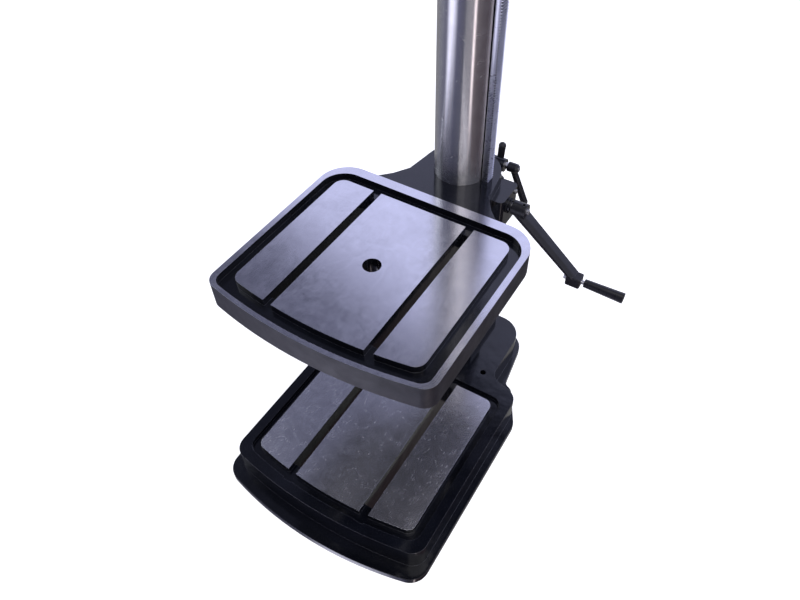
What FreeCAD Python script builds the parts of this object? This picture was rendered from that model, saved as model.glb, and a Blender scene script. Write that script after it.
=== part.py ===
import FreeCAD, Part
import math
import os

# Floor-standing drill press. Origin: column axis on the floor, +Z up, the operator stands at -Y.
# All sizes are in millimetres.

# driving dimensions
column_radius = 50
column_wall = 7
column_top = 1540
throat = 252
base_top = 78
table_top = 531
collar_height = 110
running_gap = 0.3
fit_gap = 0.05

# work surfaces: half widths, how far the bowed front edge bulges, and rear edges
bow = 25
table_half = 211.3
table_rear = -98
table_front = -492
table_depth = 49
table_rim = 11
gutter_width = 22.5
gutter_depth = 14
base_half = 185.3
base_rear = -152
base_front = -509
slot_table = (86.9, 103.7)
slot_base = (76.2, 95.7)
slot_wall = 8
table_bore = 16
base_foot_height = 16
base_foot_front = -579
base_foot_side = [(236, -545, 40), (236, -142, 30), (190, -60, 22), (171, -52, 16), (150, 92, 48)]
base_wall_front = -546
base_wall_side = [(222, -522, 32), (222, -108, 32), (151, -90, 26), (149, 81, 54)]
base_hollow_front = -532
base_hollow_side = [(208, -510, 24), (208, -122, 24), (138, -102, 20), (136, 67, 42)]
base_gutter_half = 201
base_gutter_rear = -136
base_gutter_front = -525
base_gutter_depth = 10
base_roof = 24
anchor_boss = 15
anchor_spacing = 256
anchor_y = -89
anchor_radius = 6.3

# column foot
flange_thickness = 20
flange_half = 86
flange_rear = 74
sleeve_radius = 66
collar_top = 188
foot_bolt_radius = 7.2
foot_bolt_holes = [(x, y) for x in (-68, 68) for y in (-68, 56)]

# table raising gear
tooth_module = 1.5
gear_teeth = 16
rack_half_width = 11.3
rack_tip = 63
rack_bottom = 188.5
rack_top = 1194.5
worm_y = 6
worm_z = table_top - 50
worm_pitch_radius = 8
worm_core = 6.2
gear_width = 25
gear_front = -11
pin_radius = 4
ring_height = 26
box_left = 40
box_right = 104
box_front = -27
box_rear = 43
box_low = 439
cavity_left = 60
cavity_right = 88
cover_screw_places = [(x, y) for x in (84, 96) for y in (-20, 36)]
ear_half = 30
collar_split = 2.5
stud_radius = 6
crank_throw = 128
crank_hub_start = 113
crank_hub_end = 141
crank_hub_radius = 14.5
arm_end_x = 265
arm_end_half = 12
grip_bolt_radius = 4.2
grip_bolt_head = 7
crank_lean = 3.6
grip_start = 277.5
grip_length = 80

# head
spindle_y = -(column_radius + throat)
head_bottom = 1305
head_top = 1545
cheek_bottom = 1322
slide_bar_x = 66
slide_bar_z = 1490
slide_bar_radius = 10
head_screw_heights = (1380, 1450)
set_screw_radius = 6
set_screw_end = 82
quill_radius = 37.5
quill_bottom = 1290
quill_length = 200
rack_face = 34
lock_z = 1400
depth_x = -82
depth_rod_radius = 6
depth_rod_top = 1500
spindle_radius = 12
spindle_top = 1690
spline_root = 9.5
bearing_radius = 26
nose_bottom = 1232
nose_top = 1272
nose_radii = (9, 10.5)
sleeve_bore = 27
sleeve_body = 15
sleeve_bearing_heights = (1500, 1530)
feed_module = 2
feed_teeth = 14
feed_z = 1350
feed_shaft_radius = 12
spoke_count = 3
spoke_reach = 205
spoke_radius = 5
spoke_bend = 40
hub_x = 104
hub_radius = 27
cup_left = -92
cup_right = -68
cup_radius = 37
cup_wall = 3
chuck_bottom = 1180
chuck_length = 84
chuck_radius = 24
jaw_radius = 4.5
jaw_slant = 18
jaw_start = 5

# belt drive, cover, motor and switch
idler_y = -90
motor_y = 175
motor_radius = 75
motor_bottom = 1290
motor_height = 240
motor_shaft_radius = 9
fin_count = 36
plain_places = (25, 26, 27, 28, 29, 0, 1, 2, 34, 35)
plate_front = 92
plate_rear = 100
idler_radius = 8
pulley_bottom = 1575
step_height = 14
step_radii = (40, 53, 66, 79)
belt_depth = 8
belt_half = 5
belt_slope = 0.34
cover_half = 112
cover_wall = 2.5
cover_top = 1712
hinge_x = -116
hinge_places = (-160, 20)
hinge_pin_radius = 2.5
switch_half = 38
switch_wall = 4
switch_low = 1438
switch_high = 1526
stop_z = 1462
start_z = 1506

# worked out from the driving dimensions
tooth_pitch = math.pi * tooth_module
gear_radius = tooth_module * gear_teeth / 2
gear_x = rack_tip - 1.4 + gear_radius
gear_z = worm_z - worm_pitch_radius - gear_radius
feed_pitch_radius = feed_module * feed_teeth / 2
feed_y = spindle_y + rack_face + feed_pitch_radius
collar_radius = column_radius + 27
lip_radius = math.hypot(rack_tip, rack_half_width) + 0.6
base_rim = base_top - 4
flange_high = base_rim + flange_thickness
ring_bottom = rack_top + 0.5
ring_top = ring_bottom + ring_height
ring_middle = ring_bottom + ring_height / 2
set_screw_heights = (ring_middle,) + head_screw_heights
collar_low = table_top - collar_height
neck_top = table_top - 1.5
box_high = table_top - 24
upper_stud = (70, table_top - 14)
lower_stud = (86, table_top - 66)
grip_z = worm_z - crank_throw
quill_top = quill_bottom + quill_length
quill_bearing_places = ((quill_bottom, quill_bottom + 17), (quill_top - 15, quill_top))
chuck_top = chuck_bottom + chuck_length
pulley_top = pulley_bottom + len(step_radii) * step_height
cover_split = head_top + 18
hinge_z = cover_split + 5
motor_top = motor_bottom + motor_height
motor_bolt_places = [(x, z) for x in (-46, 46) for z in (motor_bottom + 84, motor_top - 56)]
switch_front = spindle_y - 92
switch_rear = spindle_y - 60


def at(x, y, z):
    return FreeCAD.Vector(x, y, z)


def block(x0, x1, y0, y1, z0, z1):
    return Part.makeBox(x1 - x0, y1 - y0, z1 - z0, at(x0, y0, z0))


def rod(radius, start, end):
    return Part.makeCylinder(radius, (end - start).Length, start, end - start)


def taper(radius_start, radius_end, start, end):
    return Part.makeCone(radius_start, radius_end, (end - start).Length, start, end - start)


def ring(outer, inner, start, end):
    return rod(outer, start, end).cut(rod(inner, start, end))


def joined(shapes):
    return shapes[0].multiFuse(shapes[1:]).removeSplitter()


def polygon(points):
    return Part.Face(Part.makePolygon(points + [points[0]]))


def upright_rounded(shape, radius):
    """Round every vertical edge of a block."""
    edges = [e for e in shape.Edges if abs(e.Vertexes[0].Z - e.Vertexes[-1].Z) > 1]
    return shape.makeFillet(radius, edges)


def slab(half_outline, front_y, z0, z1):
    """Plate with a bowed front; half_outline lists (x, y, corner radius) from front to rear."""
    right = [at(x, y, z0) for x, y, r in half_outline]
    left = [at(-x, y, z0) for x, y, r in reversed(half_outline)]
    corners = right + left
    edges = [Part.makeLine(a, b) for a, b in zip(corners, corners[1:])]
    edges.append(Part.Arc(left[-1], at(0, front_y, z0), right[0]).toShape())
    plate = Part.Face(Part.Wire(edges)).extrude(at(0, 0, z1 - z0))
    for x, y, radius in half_outline:
        wanted = []
        for edge in plate.Edges:
            foot = edge.Vertexes[0].Point
            upright = abs(edge.Vertexes[0].Z - edge.Vertexes[-1].Z) > 0.5
            if upright and math.hypot(abs(foot.x) - x, foot.y - y) < 0.1:
                wanted.append(edge)
        plate = plate.makeFillet(radius, wanted)
    return plate


def surface_plate(half_width, rear, front, rear_radius, front_radius, z0, z1):
    side_front = front + bow * (half_width / table_half) ** 2
    corners = [(half_width, side_front, front_radius), (half_width, rear, rear_radius)]
    return slab(corners, front, z0, z1)


def widened(slot):
    return (slot[0] - slot_wall, slot[1] + slot_wall)


def slots(slot, y0, y1, z0, z1):
    return block(slot[0], slot[1], y0, y1, z0, z1).fuse(block(-slot[1], -slot[0], y0, y1, z0, z1))


def hexagon(across_flats, start, end, inner=0):
    """Hexagonal bar from start to end, with a round hole if inner is given."""
    direction = (end - start).normalize()
    side = at(0, 0, 1) if abs(direction.z) < 0.9 else at(1, 0, 0)
    first = direction.cross(side).normalize() * (across_flats / math.sqrt(3))
    turn = FreeCAD.Rotation
    points = [start + turn(direction, 60 * n).multVec(first) for n in range(6)]
    bar = polygon(points).extrude(end - start)
    return bar.cut(rod(inner, start, end)) if inner else bar


def toothed_wheel(teeth, module, width, y0, x, z):
    """Spur wheel on an axis along Y at (x, z), with a tooth gap straight up."""
    pitch = module * teeth / 2
    tip = (pitch + 0.9 * module, 0.3 * module)
    foot = (pitch - 1.2 * module, 0.85 * module)
    points = []
    for n in range(teeth):
        middle = math.pi / 2 + (n + 0.5) * 2 * math.pi / teeth
        for radius, half in ((foot[0], -foot[1]), (tip[0], -tip[1]), tip, foot):
            angle = middle + half / radius
            points.append(at(x + radius * math.cos(angle), y0, z + radius * math.sin(angle)))
    return polygon(points).extrude(at(0, width, 0))


def rack_profile(module, z0, z1, middle_z, root_x, tip_x):
    """Corner points of straight teeth facing +X; one tooth is centred on middle_z."""
    pitch = math.pi * module
    first = math.ceil((z0 + module - middle_z) / pitch)
    last = math.floor((z1 - module - middle_z) / pitch)
    points = []
    for n in range(first, last + 1):
        z = middle_z + n * pitch
        points.append((root_x, z - 0.85 * module))
        points.append((tip_x, z - 0.35 * module))
        points.append((tip_x, z + 0.35 * module))
        points.append((root_x, z + 0.85 * module))
    return points


# base and column

def base_casting():
    rim = base_rim
    floor = rim - base_gutter_depth
    foot = slab(base_foot_side, base_foot_front, 0, base_foot_height)
    wall = slab(base_wall_side, base_wall_front, base_foot_height, rim)
    body = foot.fuse(wall)
    body = body.fuse(surface_plate(base_half, base_rear, base_front, 18, 18, floor - 2, base_top))
    gutter = surface_plate(base_gutter_half, base_gutter_rear, base_gutter_front, 24, 24, floor, rim)
    keep = surface_plate(base_half, base_rear, base_front, 18, 18, floor, rim)
    body = body.cut(gutter.cut(keep))
    hollow = slab(base_hollow_side, base_hollow_front, 0, rim - base_roof)
    ribs = [block(-7, 7, -540, 90, 0, rim), block(-230, 230, -340, -328, 0, rim)]
    ribs.append(slots(widened(slot_base), base_front + 18, base_rear + 2, 0, rim))
    column_seat = rod(70, at(0, 0, 0), at(0, 0, rim))
    hollow = hollow.cut(joined(ribs + [column_seat]))
    body = body.cut(hollow)
    body = body.cut(slots(slot_base, base_front - 14, base_rear + 14, floor, base_top))
    body = body.cut(slots(slot_base, base_front + 26, base_rear - 6, 0, rim))
    for side in (-1, 1):
        x = side * anchor_spacing / 2
        boss = rod(anchor_boss, at(x, anchor_y, 0), at(x, anchor_y, rim))
        body = body.fuse(boss).cut(rod(anchor_radius, at(x, anchor_y, 0), at(x, anchor_y, rim)))
    return body.removeSplitter()


def column_flange():
    sides = block(-flange_half, flange_half, -flange_half, flange_rear, base_rim, flange_high)
    plate = upright_rounded(sides, 20)
    sleeve = rod(sleeve_radius, at(0, 0, base_rim), at(0, 0, collar_top))
    skirt = taper(sleeve_radius + 7, sleeve_radius, at(0, 0, flange_high), at(0, 0, flange_high + 14))
    lip = rod(lip_radius + 6, at(0, 0, collar_top - 22), at(0, 0, collar_top + 8))
    body = joined([plate, sleeve, skirt, lip])
    body = body.cut(rod(lip_radius, at(0, 0, collar_top), at(0, 0, collar_top + 8)))
    body = body.cut(rod(column_radius, at(0, 0, base_rim), at(0, 0, collar_top)))
    for x, y in foot_bolt_holes:
        body = body.cut(rod(foot_bolt_radius + 0.3, at(x, y, base_rim), at(x, y, flange_high)))
    return body


def flange_bolts():
    bolts = []
    for x, y in foot_bolt_holes:
        seat = at(x, y, flange_high + 2.5)
        washer = ring(14, foot_bolt_radius, at(x, y, flange_high), seat)
        head = hexagon(22, seat, at(x, y, flange_high + 12))
        shank = rod(foot_bolt_radius, at(x, y, base_rim), seat)
        bolts.append(joined([washer, head, shank]))
    return Part.makeCompound(bolts)


def column_tube():
    return ring(column_radius, column_radius - column_wall, at(0, 0, base_rim), at(0, 0, column_top))


def rack():
    back = column_radius + running_gap
    root = rack_tip - 2.2 * tooth_module
    outline = [(back, rack_bottom), (root, rack_bottom)]
    outline += rack_profile(tooth_module, rack_bottom + 3, rack_top - 3, gear_z, root, rack_tip)
    outline += [(root, rack_top), (back, rack_top)]
    points = [at(x, -rack_half_width, z) for x, z in outline]
    return polygon(points).extrude(at(0, 2 * rack_half_width, 0))


def rack_ring():
    body = rod(lip_radius + 6, at(0, 0, ring_bottom - 8), at(0, 0, ring_top))
    body = body.cut(rod(lip_radius, at(0, 0, ring_bottom - 8), at(0, 0, ring_bottom)))
    body = body.cut(rod(column_radius, at(0, 0, ring_bottom), at(0, 0, ring_top)))
    return body.cut(rod(set_screw_radius, at(0, 0, ring_middle), at(90, 0, ring_middle)))


# table and its raising gear

def neck_outline(z0, z1):
    half = [(130, table_rear - 6, 1), (103, -76, 40), (84, -46, 60), (collar_radius, 4, 30),
            (collar_radius - 3, 26, 5)]
    right = [at(x, y, z0) for x, y, r in half]
    left = [at(-x, y, z0) for x, y, r in reversed(half)]
    return polygon(right + left).extrude(at(0, 0, z1 - z0))


def table_casting():
    low = table_top - table_depth
    gutter_floor = table_top - gutter_depth
    body = surface_plate(table_half, table_rear, table_front, 57, 25, low, table_top)
    inner = table_half - table_rim
    gutter = surface_plate(inner, table_rear - 21, table_front + 8, 46, 20, gutter_floor, table_top)
    plateau_half = inner - gutter_width
    plateau_rear = table_rear - 42.4
    plateau_front = table_front + 33
    plateau = surface_plate(plateau_half, plateau_rear, plateau_front, 20, 20, gutter_floor,
                            table_top)
    body = body.cut(gutter.cut(plateau))
    under = surface_plate(table_half - 14, table_rear - 14, table_front + 14, 43, 14, low,
                          gutter_floor - 10)
    ribs = [block(-6, 6, table_front, table_rear, low, table_top)]
    ribs.append(block(-table_half, table_half, spindle_y - 6, spindle_y + 6, low, table_top))
    ribs.append(rod(34, at(0, spindle_y, low), at(0, spindle_y, table_top)))
    ribs.append(slots(widened(slot_table), plateau_front + 18, plateau_rear + 2, low, table_top))
    body = body.cut(under.cut(joined(ribs)))
    body = body.cut(slots(slot_table, plateau_front - 12, plateau_rear + 12, gutter_floor, table_top))
    body = body.cut(slots(slot_table, plateau_front + 26, plateau_rear - 6, low, gutter_floor))
    body = body.cut(rod(table_bore, at(0, spindle_y, low), at(0, spindle_y, table_top)))

    collar = rod(collar_radius, at(0, 0, collar_low), at(0, 0, neck_top))
    web = polygon([at(-9, -60, collar_low + 4), at(-9, table_rear - 12, low + 6),
                   at(-9, table_rear - 12, neck_top), at(-9, -60, neck_top)]).extrude(at(18, 0, 0))
    gearbox = upright_rounded(block(box_left, box_right, box_front, box_rear, box_low, box_high), 9)
    hub_boss = rod(15, at(box_right - 10, worm_y, worm_z), at(box_right + 6, worm_y, worm_z))
    ears = block(-ear_half, ear_half, 40, upper_stud[0] + 14, collar_low, neck_top)
    low_ears = block(-ear_half, ear_half, 40, lower_stud[0] + 14, collar_low + 6, lower_stud[1] + 18)
    pad_y, pad_z = upper_stud[0], upper_stud[1] - 1
    stud_pad = rod(13, at(-48, pad_y, pad_z), at(61, pad_y, pad_z))
    body = joined([body, neck_outline(low + 4, neck_top), collar, web, gearbox, hub_boss, ears,
                   low_ears, stud_pad])

    body = body.cut(rod(column_radius + running_gap, at(0, 0, collar_low), at(0, 0, table_top)))
    body = body.cut(block(40, rack_tip + 0.6, -rack_half_width - 0.5, rack_half_width + 0.5,
                          collar_low, table_top))
    body = body.cut(block(-collar_split, collar_split, 40, 110, collar_low, table_top))
    cavity = block(cavity_left, cavity_right, gear_front - 2, gear_front + gear_width + 3, box_low,
                   gear_z + gear_radius + 4)
    worm_room = rod(11, at(cavity_left, worm_y, worm_z), at(cavity_right, worm_y, worm_z))
    body = body.cut(cavity.fuse(worm_room))
    body = body.cut(rod(worm_pitch_radius + fit_gap, at(86, worm_y, worm_z),
                        at(box_right + 7, worm_y, worm_z)))
    body = body.cut(rod(pin_radius, at(gear_x, box_front - 1, gear_z), at(gear_x, box_rear + 1, gear_z)))
    for y, z in (upper_stud, lower_stud):
        body = body.cut(rod(stud_radius + 0.2, at(-70, y, z), at(70, y, z)))
    for x, y in cover_screw_places:
        body = body.cut(rod(2.5, at(x, y, box_low), at(x, y, box_low + 10)))
    return body


def gearbox_cover():
    sides = block(62, box_right - 1, box_front + 1, box_rear - 1, box_low - 3, box_low)
    plate = upright_rounded(sides, 8)
    plate = plate.cut(block(60, rack_tip + 14, -12.5, 12.5, box_low - 4, box_low))
    plate = plate.cut(rod(collar_radius + 0.5, at(0, 0, box_low - 4), at(0, 0, box_low)))
    for x, y in cover_screw_places:
        plate = plate.cut(rod(2.7, at(x, y, box_low - 4), at(x, y, box_low)))
    return plate


def lift_gear():
    wheel = toothed_wheel(gear_teeth, tooth_module, gear_width, gear_front, gear_x, gear_z)
    start = at(gear_x, gear_front - 1, gear_z)
    end = at(gear_x, gear_front + gear_width + 1, gear_z)
    return wheel.cut(rod(pin_radius + fit_gap, start, end))


def lift_gear_pin():
    pin = rod(pin_radius, at(gear_x, box_front - 1, gear_z), at(gear_x, box_rear + 1, gear_z))
    slit = block(gear_x - 5, gear_x + 5, box_front - 1, box_front, gear_z - 0.6, gear_z + 0.6)
    return pin.cut(slit)


def worm_shaft():
    core = rod(worm_core, at(64.5, worm_y, worm_z), at(cavity_right, worm_y, worm_z))
    journal = rod(worm_pitch_radius, at(cavity_right - 1, worm_y, worm_z),
                  at(crank_hub_end + 1, worm_y, worm_z))
    turns = 4
    start = gear_x - turns / 2 * tooth_pitch
    helix = Part.makeHelix(tooth_pitch, turns * tooth_pitch, 6, 0, True)
    profile = Part.makePolygon([at(5.8, 0, -1.1), at(9.2, 0, -0.45), at(9.2, 0, 0.45),
                                at(5.8, 0, 1.1), at(5.8, 0, -1.1)])
    thread = Part.Wire(helix.Edges).makePipeShell([profile], True, True)
    thread.rotate(at(0, 0, 0), at(0, 1, 0), 90)
    thread.translate(at(start, worm_y, worm_z))
    thread = thread.common(block(64.8, 86, worm_y - 12, worm_y + 12, worm_z - 12, worm_z + 12))
    return joined([core, thread, journal])


def crank_lay(shape):
    """Turn a shape drawn with the arm straight down to the crank's rest angle."""
    shape.rotate(at(0, worm_y, worm_z), at(1, 0, 0), crank_lean)
    return shape


def arm_section(x, drop, half, thick):
    z = worm_z - drop
    return Part.makePolygon([at(x - thick, worm_y - half, z), at(x + 0.2 * thick, worm_y - half, z),
                             at(x + thick, worm_y - 0.25 * half, z),
                             at(x + thick, worm_y + half, z), at(x - thick, worm_y + half, z),
                             at(x - thick, worm_y - half, z)])


def crank_arm():
    hub = rod(crank_hub_radius, at(crank_hub_start, worm_y, worm_z), at(crank_hub_end, worm_y, worm_z))
    near = arm_section(128, 6, 13.5, 9)
    far = arm_section(arm_end_x - 4, crank_throw - 2, arm_end_half, 7)
    arm = Part.makeLoft([near, far], True, True)
    end_left = arm_end_x - 24
    end_right = arm_end_x + 6
    end = block(end_left, end_right, worm_y - arm_end_half, worm_y + arm_end_half, grip_z - 12.5,
                grip_z + arm_end_half)
    end = end.makeFillet(3, end.Edges)
    arm = joined([hub, arm, end])
    arm = arm.cut(rod(worm_pitch_radius, at(crank_hub_start - 1, worm_y, worm_z),
                      at(crank_hub_end + 1, worm_y, worm_z)))
    arm = arm.cut(rod(grip_bolt_radius, at(end_left - 1, worm_y, grip_z),
                      at(end_right + 1, worm_y, grip_z)))
    arm = arm.cut(rod(3, at(134, worm_y, worm_z), at(134, worm_y, worm_z + 16)))
    return crank_lay(arm)


def grip_bolt():
    nut_end = arm_end_x - 24
    grip_end = grip_start + grip_length
    shank = rod(grip_bolt_radius, at(nut_end - 5, worm_y, grip_z), at(grip_end - 6, worm_y, grip_z))
    nut = hexagon(12, at(nut_end - 6, worm_y, grip_z), at(nut_end, worm_y, grip_z))
    head = rod(grip_bolt_head, at(grip_end - 7, worm_y, grip_z), at(grip_end - 3, worm_y, grip_z))
    return crank_lay(joined([shank, nut, head]))


def crank_grip():
    start = at(grip_start, worm_y, grip_z)
    end = at(grip_start + grip_length, worm_y, grip_z)
    grip = taper(8.5, 10.8, start, end)
    grip = grip.cut(rod(grip_bolt_radius + fit_gap, start, end))
    grip = grip.cut(rod(grip_bolt_head + fit_gap, end - at(7.2, 0, 0), end))
    return crank_lay(grip)


def clamp_studs():
    studs = []
    for (y, z), low_x, high_x in ((upper_stud, -48, 81), (lower_stud, -30, 44)):
        stud = rod(stud_radius, at(low_x, y, z), at(high_x, y, z))
        studs.append(stud.fuse(hexagon(17, at(low_x - 8, y, z), at(low_x, y, z))))
    return Part.makeCompound(studs)


def clamp_lever(place, hub_start, reach, flare, lean):
    """Adjustable clamping lever: hub on the stud, arm hanging down, rounded end."""
    y, z = place
    hub_end = hub_start + 17
    hub = rod(9.5, at(hub_start, y, z), at(hub_end, y, z))
    cap = taper(9.5, 7, at(hub_end, y, z), at(hub_end + 4, y, z))
    root = at(hub_start + 9, y, z)
    tip = at(hub_start + 9 + flare, y, z - reach)
    arm = taper(6.2, 7.2, root, tip)
    lever = joined([hub, cap, arm, Part.makeSphere(7.5, tip)])
    lever = lever.cut(rod(stud_radius + fit_gap, at(hub_start - 1, y, z), at(hub_start + 14, y, z)))
    lever.rotate(at(0, y, z), at(1, 0, 0), lean)
    return lever


# head, quill and chuck

def head_casting():
    collar = rod(78, at(0, 0, 1330), at(0, 0, head_top))
    barrel = rod(56, at(0, spindle_y, head_bottom), at(0, spindle_y, head_top))
    cheek = upright_rounded(block(-64, 64, spindle_y, 0, cheek_bottom, head_top), 20)
    deck = upright_rounded(block(-84, 84, -370, 60, head_top - 16, head_top), 40)
    pad = block(-44, 44, spindle_y - 60, spindle_y, 1432, head_top - 8)
    feed_boss = rod(30, at(-68, feed_y, feed_z), at(76, feed_y, feed_z))
    depth_lug = block(-98, -50, spindle_y - 14, spindle_y + 10, 1330, 1345)
    bars = []
    for x in (-slide_bar_x, slide_bar_x):
        bars.append(rod(slide_bar_radius + 7, at(x, -40, slide_bar_z), at(x, 72, slide_bar_z)))
    lock_boss = rod(14, at(40, spindle_y - 30, lock_z), at(62, spindle_y - 46, lock_z))
    body = joined([collar, barrel, cheek, deck, pad, feed_boss, depth_lug, lock_boss] + bars)
    hollow = upright_rounded(block(-52, 52, -232, -86, cheek_bottom, head_top - 26), 14)
    body = body.cut(hollow)
    body = body.cut(rod(column_radius, at(0, 0, 1320), at(0, 0, column_top)))
    body = body.cut(rod(idler_radius, at(0, idler_y, head_top - 16), at(0, idler_y, head_top)))
    bore_top = quill_top + 3
    body = body.cut(rod(quill_radius + fit_gap, at(0, spindle_y, head_bottom), at(0, spindle_y, bore_top)))
    body = body.cut(rod(sleeve_bore, at(0, spindle_y, bore_top), at(0, spindle_y, head_top)))
    body = body.cut(rod(feed_shaft_radius + fit_gap, at(-70, feed_y, feed_z), at(78, feed_y, feed_z)))
    body = body.cut(rod(feed_pitch_radius + 3.5, at(-13, feed_y, feed_z), at(13, feed_y, feed_z)))
    body = body.cut(rod(depth_rod_radius + 0.5, at(depth_x, spindle_y, 1329), at(depth_x, spindle_y, 1346)))
    for x in (-slide_bar_x, slide_bar_x):
        body = body.cut(rod(slide_bar_radius, at(x, -40, slide_bar_z), at(x, 74, slide_bar_z)))
    for z in head_screw_heights:
        body = body.cut(rod(set_screw_radius, at(40, 0, z), at(80, 0, z)))
    body = body.cut(rod(5, at(30, spindle_y - 22, lock_z), at(66, spindle_y - 49.2, lock_z)))
    return body


def set_screws():
    """Three equal socket screws: one in the rack ring and two in the head's collar."""
    screws = []
    for z in set_screw_heights:
        screw = rod(set_screw_radius, at(column_radius, 0, z), at(set_screw_end, 0, z))
        screws.append(screw.cut(hexagon(6, at(set_screw_end - 6, 0, z), at(set_screw_end, 0, z))))
    return Part.makeCompound(screws)


def quill_tube():
    top = quill_top
    body = rod(quill_radius, at(0, spindle_y, quill_bottom), at(0, spindle_y, top))
    body = body.cut(rod(spindle_radius, at(0, spindle_y, quill_bottom), at(0, spindle_y, top)))
    for z0, z1 in quill_bearing_places:
        body = body.cut(rod(bearing_radius, at(0, spindle_y, z0), at(0, spindle_y, z1)))
    face = spindle_y + rack_face + 0.9 * feed_module
    root = spindle_y + rack_face - 1.3 * feed_module
    body = body.cut(block(-12.5, 12.5, face, face + 9, quill_bottom + 18, top))
    teeth = rack_profile(feed_module, quill_bottom + 32, top - 4, feed_z, root, face)
    low = (root, teeth[0][1] - feed_module)
    high = (root, teeth[-1][1] + feed_module)
    outside = face + 1
    gaps = [(outside, low[1]), low] + teeth + [high, (outside, high[1])]
    gap_points = [at(-12.5, y, z) for y, z in gaps]
    return body.cut(polygon(gap_points).extrude(at(25, 0, 0)))


def quill_bearings():
    rings = []
    for z0, z1 in quill_bearing_places:
        rings.append(ring(bearing_radius, spindle_radius, at(0, spindle_y, z0), at(0, spindle_y, z1)))
    return Part.makeCompound(rings)


def splined(radius, tooth_radius, half_width, z0, z1):
    body = rod(radius, at(0, spindle_y, z0), at(0, spindle_y, z1))
    tooth = block(-half_width, half_width, spindle_y - tooth_radius, spindle_y + tooth_radius, z0, z1)
    for angle in (0, 60, 120):
        body = body.fuse(tooth.rotated(at(0, spindle_y, 0), at(0, 0, 1), angle))
    return body


def spindle_shaft():
    nose = rod(17, at(0, spindle_y, nose_top), at(0, spindle_y, quill_bottom))
    nose_taper = taper(*nose_radii, at(0, spindle_y, nose_bottom), at(0, spindle_y, nose_top))
    shaft = rod(spindle_radius, at(0, spindle_y, quill_bottom), at(0, spindle_y, quill_top + 3))
    spline = splined(spline_root, spindle_radius, 2, quill_top + 3, spindle_top)
    return joined([nose, nose_taper, shaft, spline])


def jaw_pin(number, radius, length):
    """Slanting round pin of one chuck jaw; the three lean outwards going up."""
    foot = at(jaw_start, spindle_y, chuck_bottom + 1)
    lean = math.radians(jaw_slant)
    pin = rod(radius, foot, foot + at(math.sin(lean), 0, math.cos(lean)) * length)
    pin.rotate(at(0, spindle_y, 0), at(0, 0, 1), 120 * number + 90)
    return pin


def chuck_jaw(number):
    """The pin, cut to the third of a circle that it may fill beside its neighbours."""
    low = chuck_bottom - 8
    wedge = polygon([at(1.5, spindle_y, low), at(20, spindle_y - 30, low),
                     at(40, spindle_y - 30, low), at(40, spindle_y + 30, low),
                     at(20, spindle_y + 30, low)])
    keep = wedge.extrude(at(0, 0, 68))
    keep.rotate(at(0, spindle_y, 0), at(0, 0, 1), 120 * number + 90)
    return jaw_pin(number, jaw_radius, 30).common(keep)


def chuck_body():
    low = chuck_bottom
    nose = taper(17, chuck_radius, at(0, spindle_y, low), at(0, spindle_y, low + 16))
    middle = rod(chuck_radius, at(0, spindle_y, low + 16), at(0, spindle_y, low + 52))
    back = rod(28, at(0, spindle_y, low + 52), at(0, spindle_y, chuck_top))
    body = joined([nose, middle, back])
    body = body.cut(taper(*nose_radii, at(0, spindle_y, nose_bottom), at(0, spindle_y, nose_top)))
    body = body.cut(rod(8, at(0, spindle_y, low), at(0, spindle_y, low + 44)))
    for number in range(3):
        body = body.cut(jaw_pin(number, jaw_radius + 0.1, 46))
        angle = math.radians(120 * number + 30)
        across = at(math.cos(angle), math.sin(angle), 0)
        middle = at(0, spindle_y, low + 60)
        body = body.cut(rod(4, middle + across * 30, middle + across * 15))
    return body


def chuck_sleeve():
    low = chuck_bottom + 17
    sleeve = rod(29, at(0, spindle_y, low), at(0, spindle_y, low + 34))
    return sleeve.cut(rod(chuck_radius + fit_gap, at(0, spindle_y, low), at(0, spindle_y, low + 34)))


def feed_shaft():
    """Shaft across the head, with the pinion that drives the quill cut in its middle."""
    wheel = toothed_wheel(feed_teeth, feed_module, 24, -12, 0, 0)
    wheel.rotate(at(0, 0, 0), at(0, 0, 1), 90)
    wheel.rotate(at(0, 0, 0), at(1, 0, 0), 180 / feed_teeth)
    wheel.translate(at(0, feed_y, feed_z))
    left = rod(feed_shaft_radius, at(cup_left, feed_y, feed_z), at(-12, feed_y, feed_z))
    right = rod(feed_shaft_radius, at(12, feed_y, feed_z), at(126, feed_y, feed_z))
    return joined([left, wheel, right])


def about_feed(shape, number):
    return shape.rotated(at(0, feed_y, feed_z), at(1, 0, 0), 360 / spoke_count * number)


def feed_hub():
    start = hub_x - 18
    end = hub_x + 18
    hub = rod(hub_radius, at(start, feed_y, feed_z), at(end, feed_y, feed_z))
    hub = hub.fuse(taper(hub_radius, 18, at(end, feed_y, feed_z), at(end + 7, feed_y, feed_z)))
    hub = hub.cut(rod(feed_shaft_radius, at(start, feed_y, feed_z), at(end + 4, feed_y, feed_z)))
    bore = rod(spoke_radius, at(hub_x, feed_y, feed_z + 16), at(hub_x, feed_y, feed_z + 30))
    for number in range(spoke_count):
        hub = hub.cut(about_feed(bore, number))
    return hub


def feed_spokes():
    tip = at(hub_x + 30, feed_y, feed_z + spoke_reach)
    bend = at(hub_x, feed_y, feed_z + spoke_bend)
    spoke = rod(spoke_radius, at(hub_x, feed_y, feed_z + 16), bend)
    outer = rod(spoke_radius, bend, tip)
    whole = joined([spoke, Part.makeSphere(spoke_radius, bend), outer])
    return Part.makeCompound([about_feed(whole, number) for number in range(spoke_count)])


def feed_knobs():
    start = at(hub_x + 30, feed_y, feed_z + spoke_reach)
    slope = (start - at(hub_x, feed_y, feed_z + spoke_bend)).normalize()
    neck = taper(9, 16, start - slope * 6, start + slope * 12)
    ball = Part.makeSphere(18, start + slope * 24)
    knob = neck.fuse(ball).cut(rod(spoke_radius, start - slope * 8, start))
    return Part.makeCompound([about_feed(knob, number) for number in range(spoke_count)])


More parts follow.
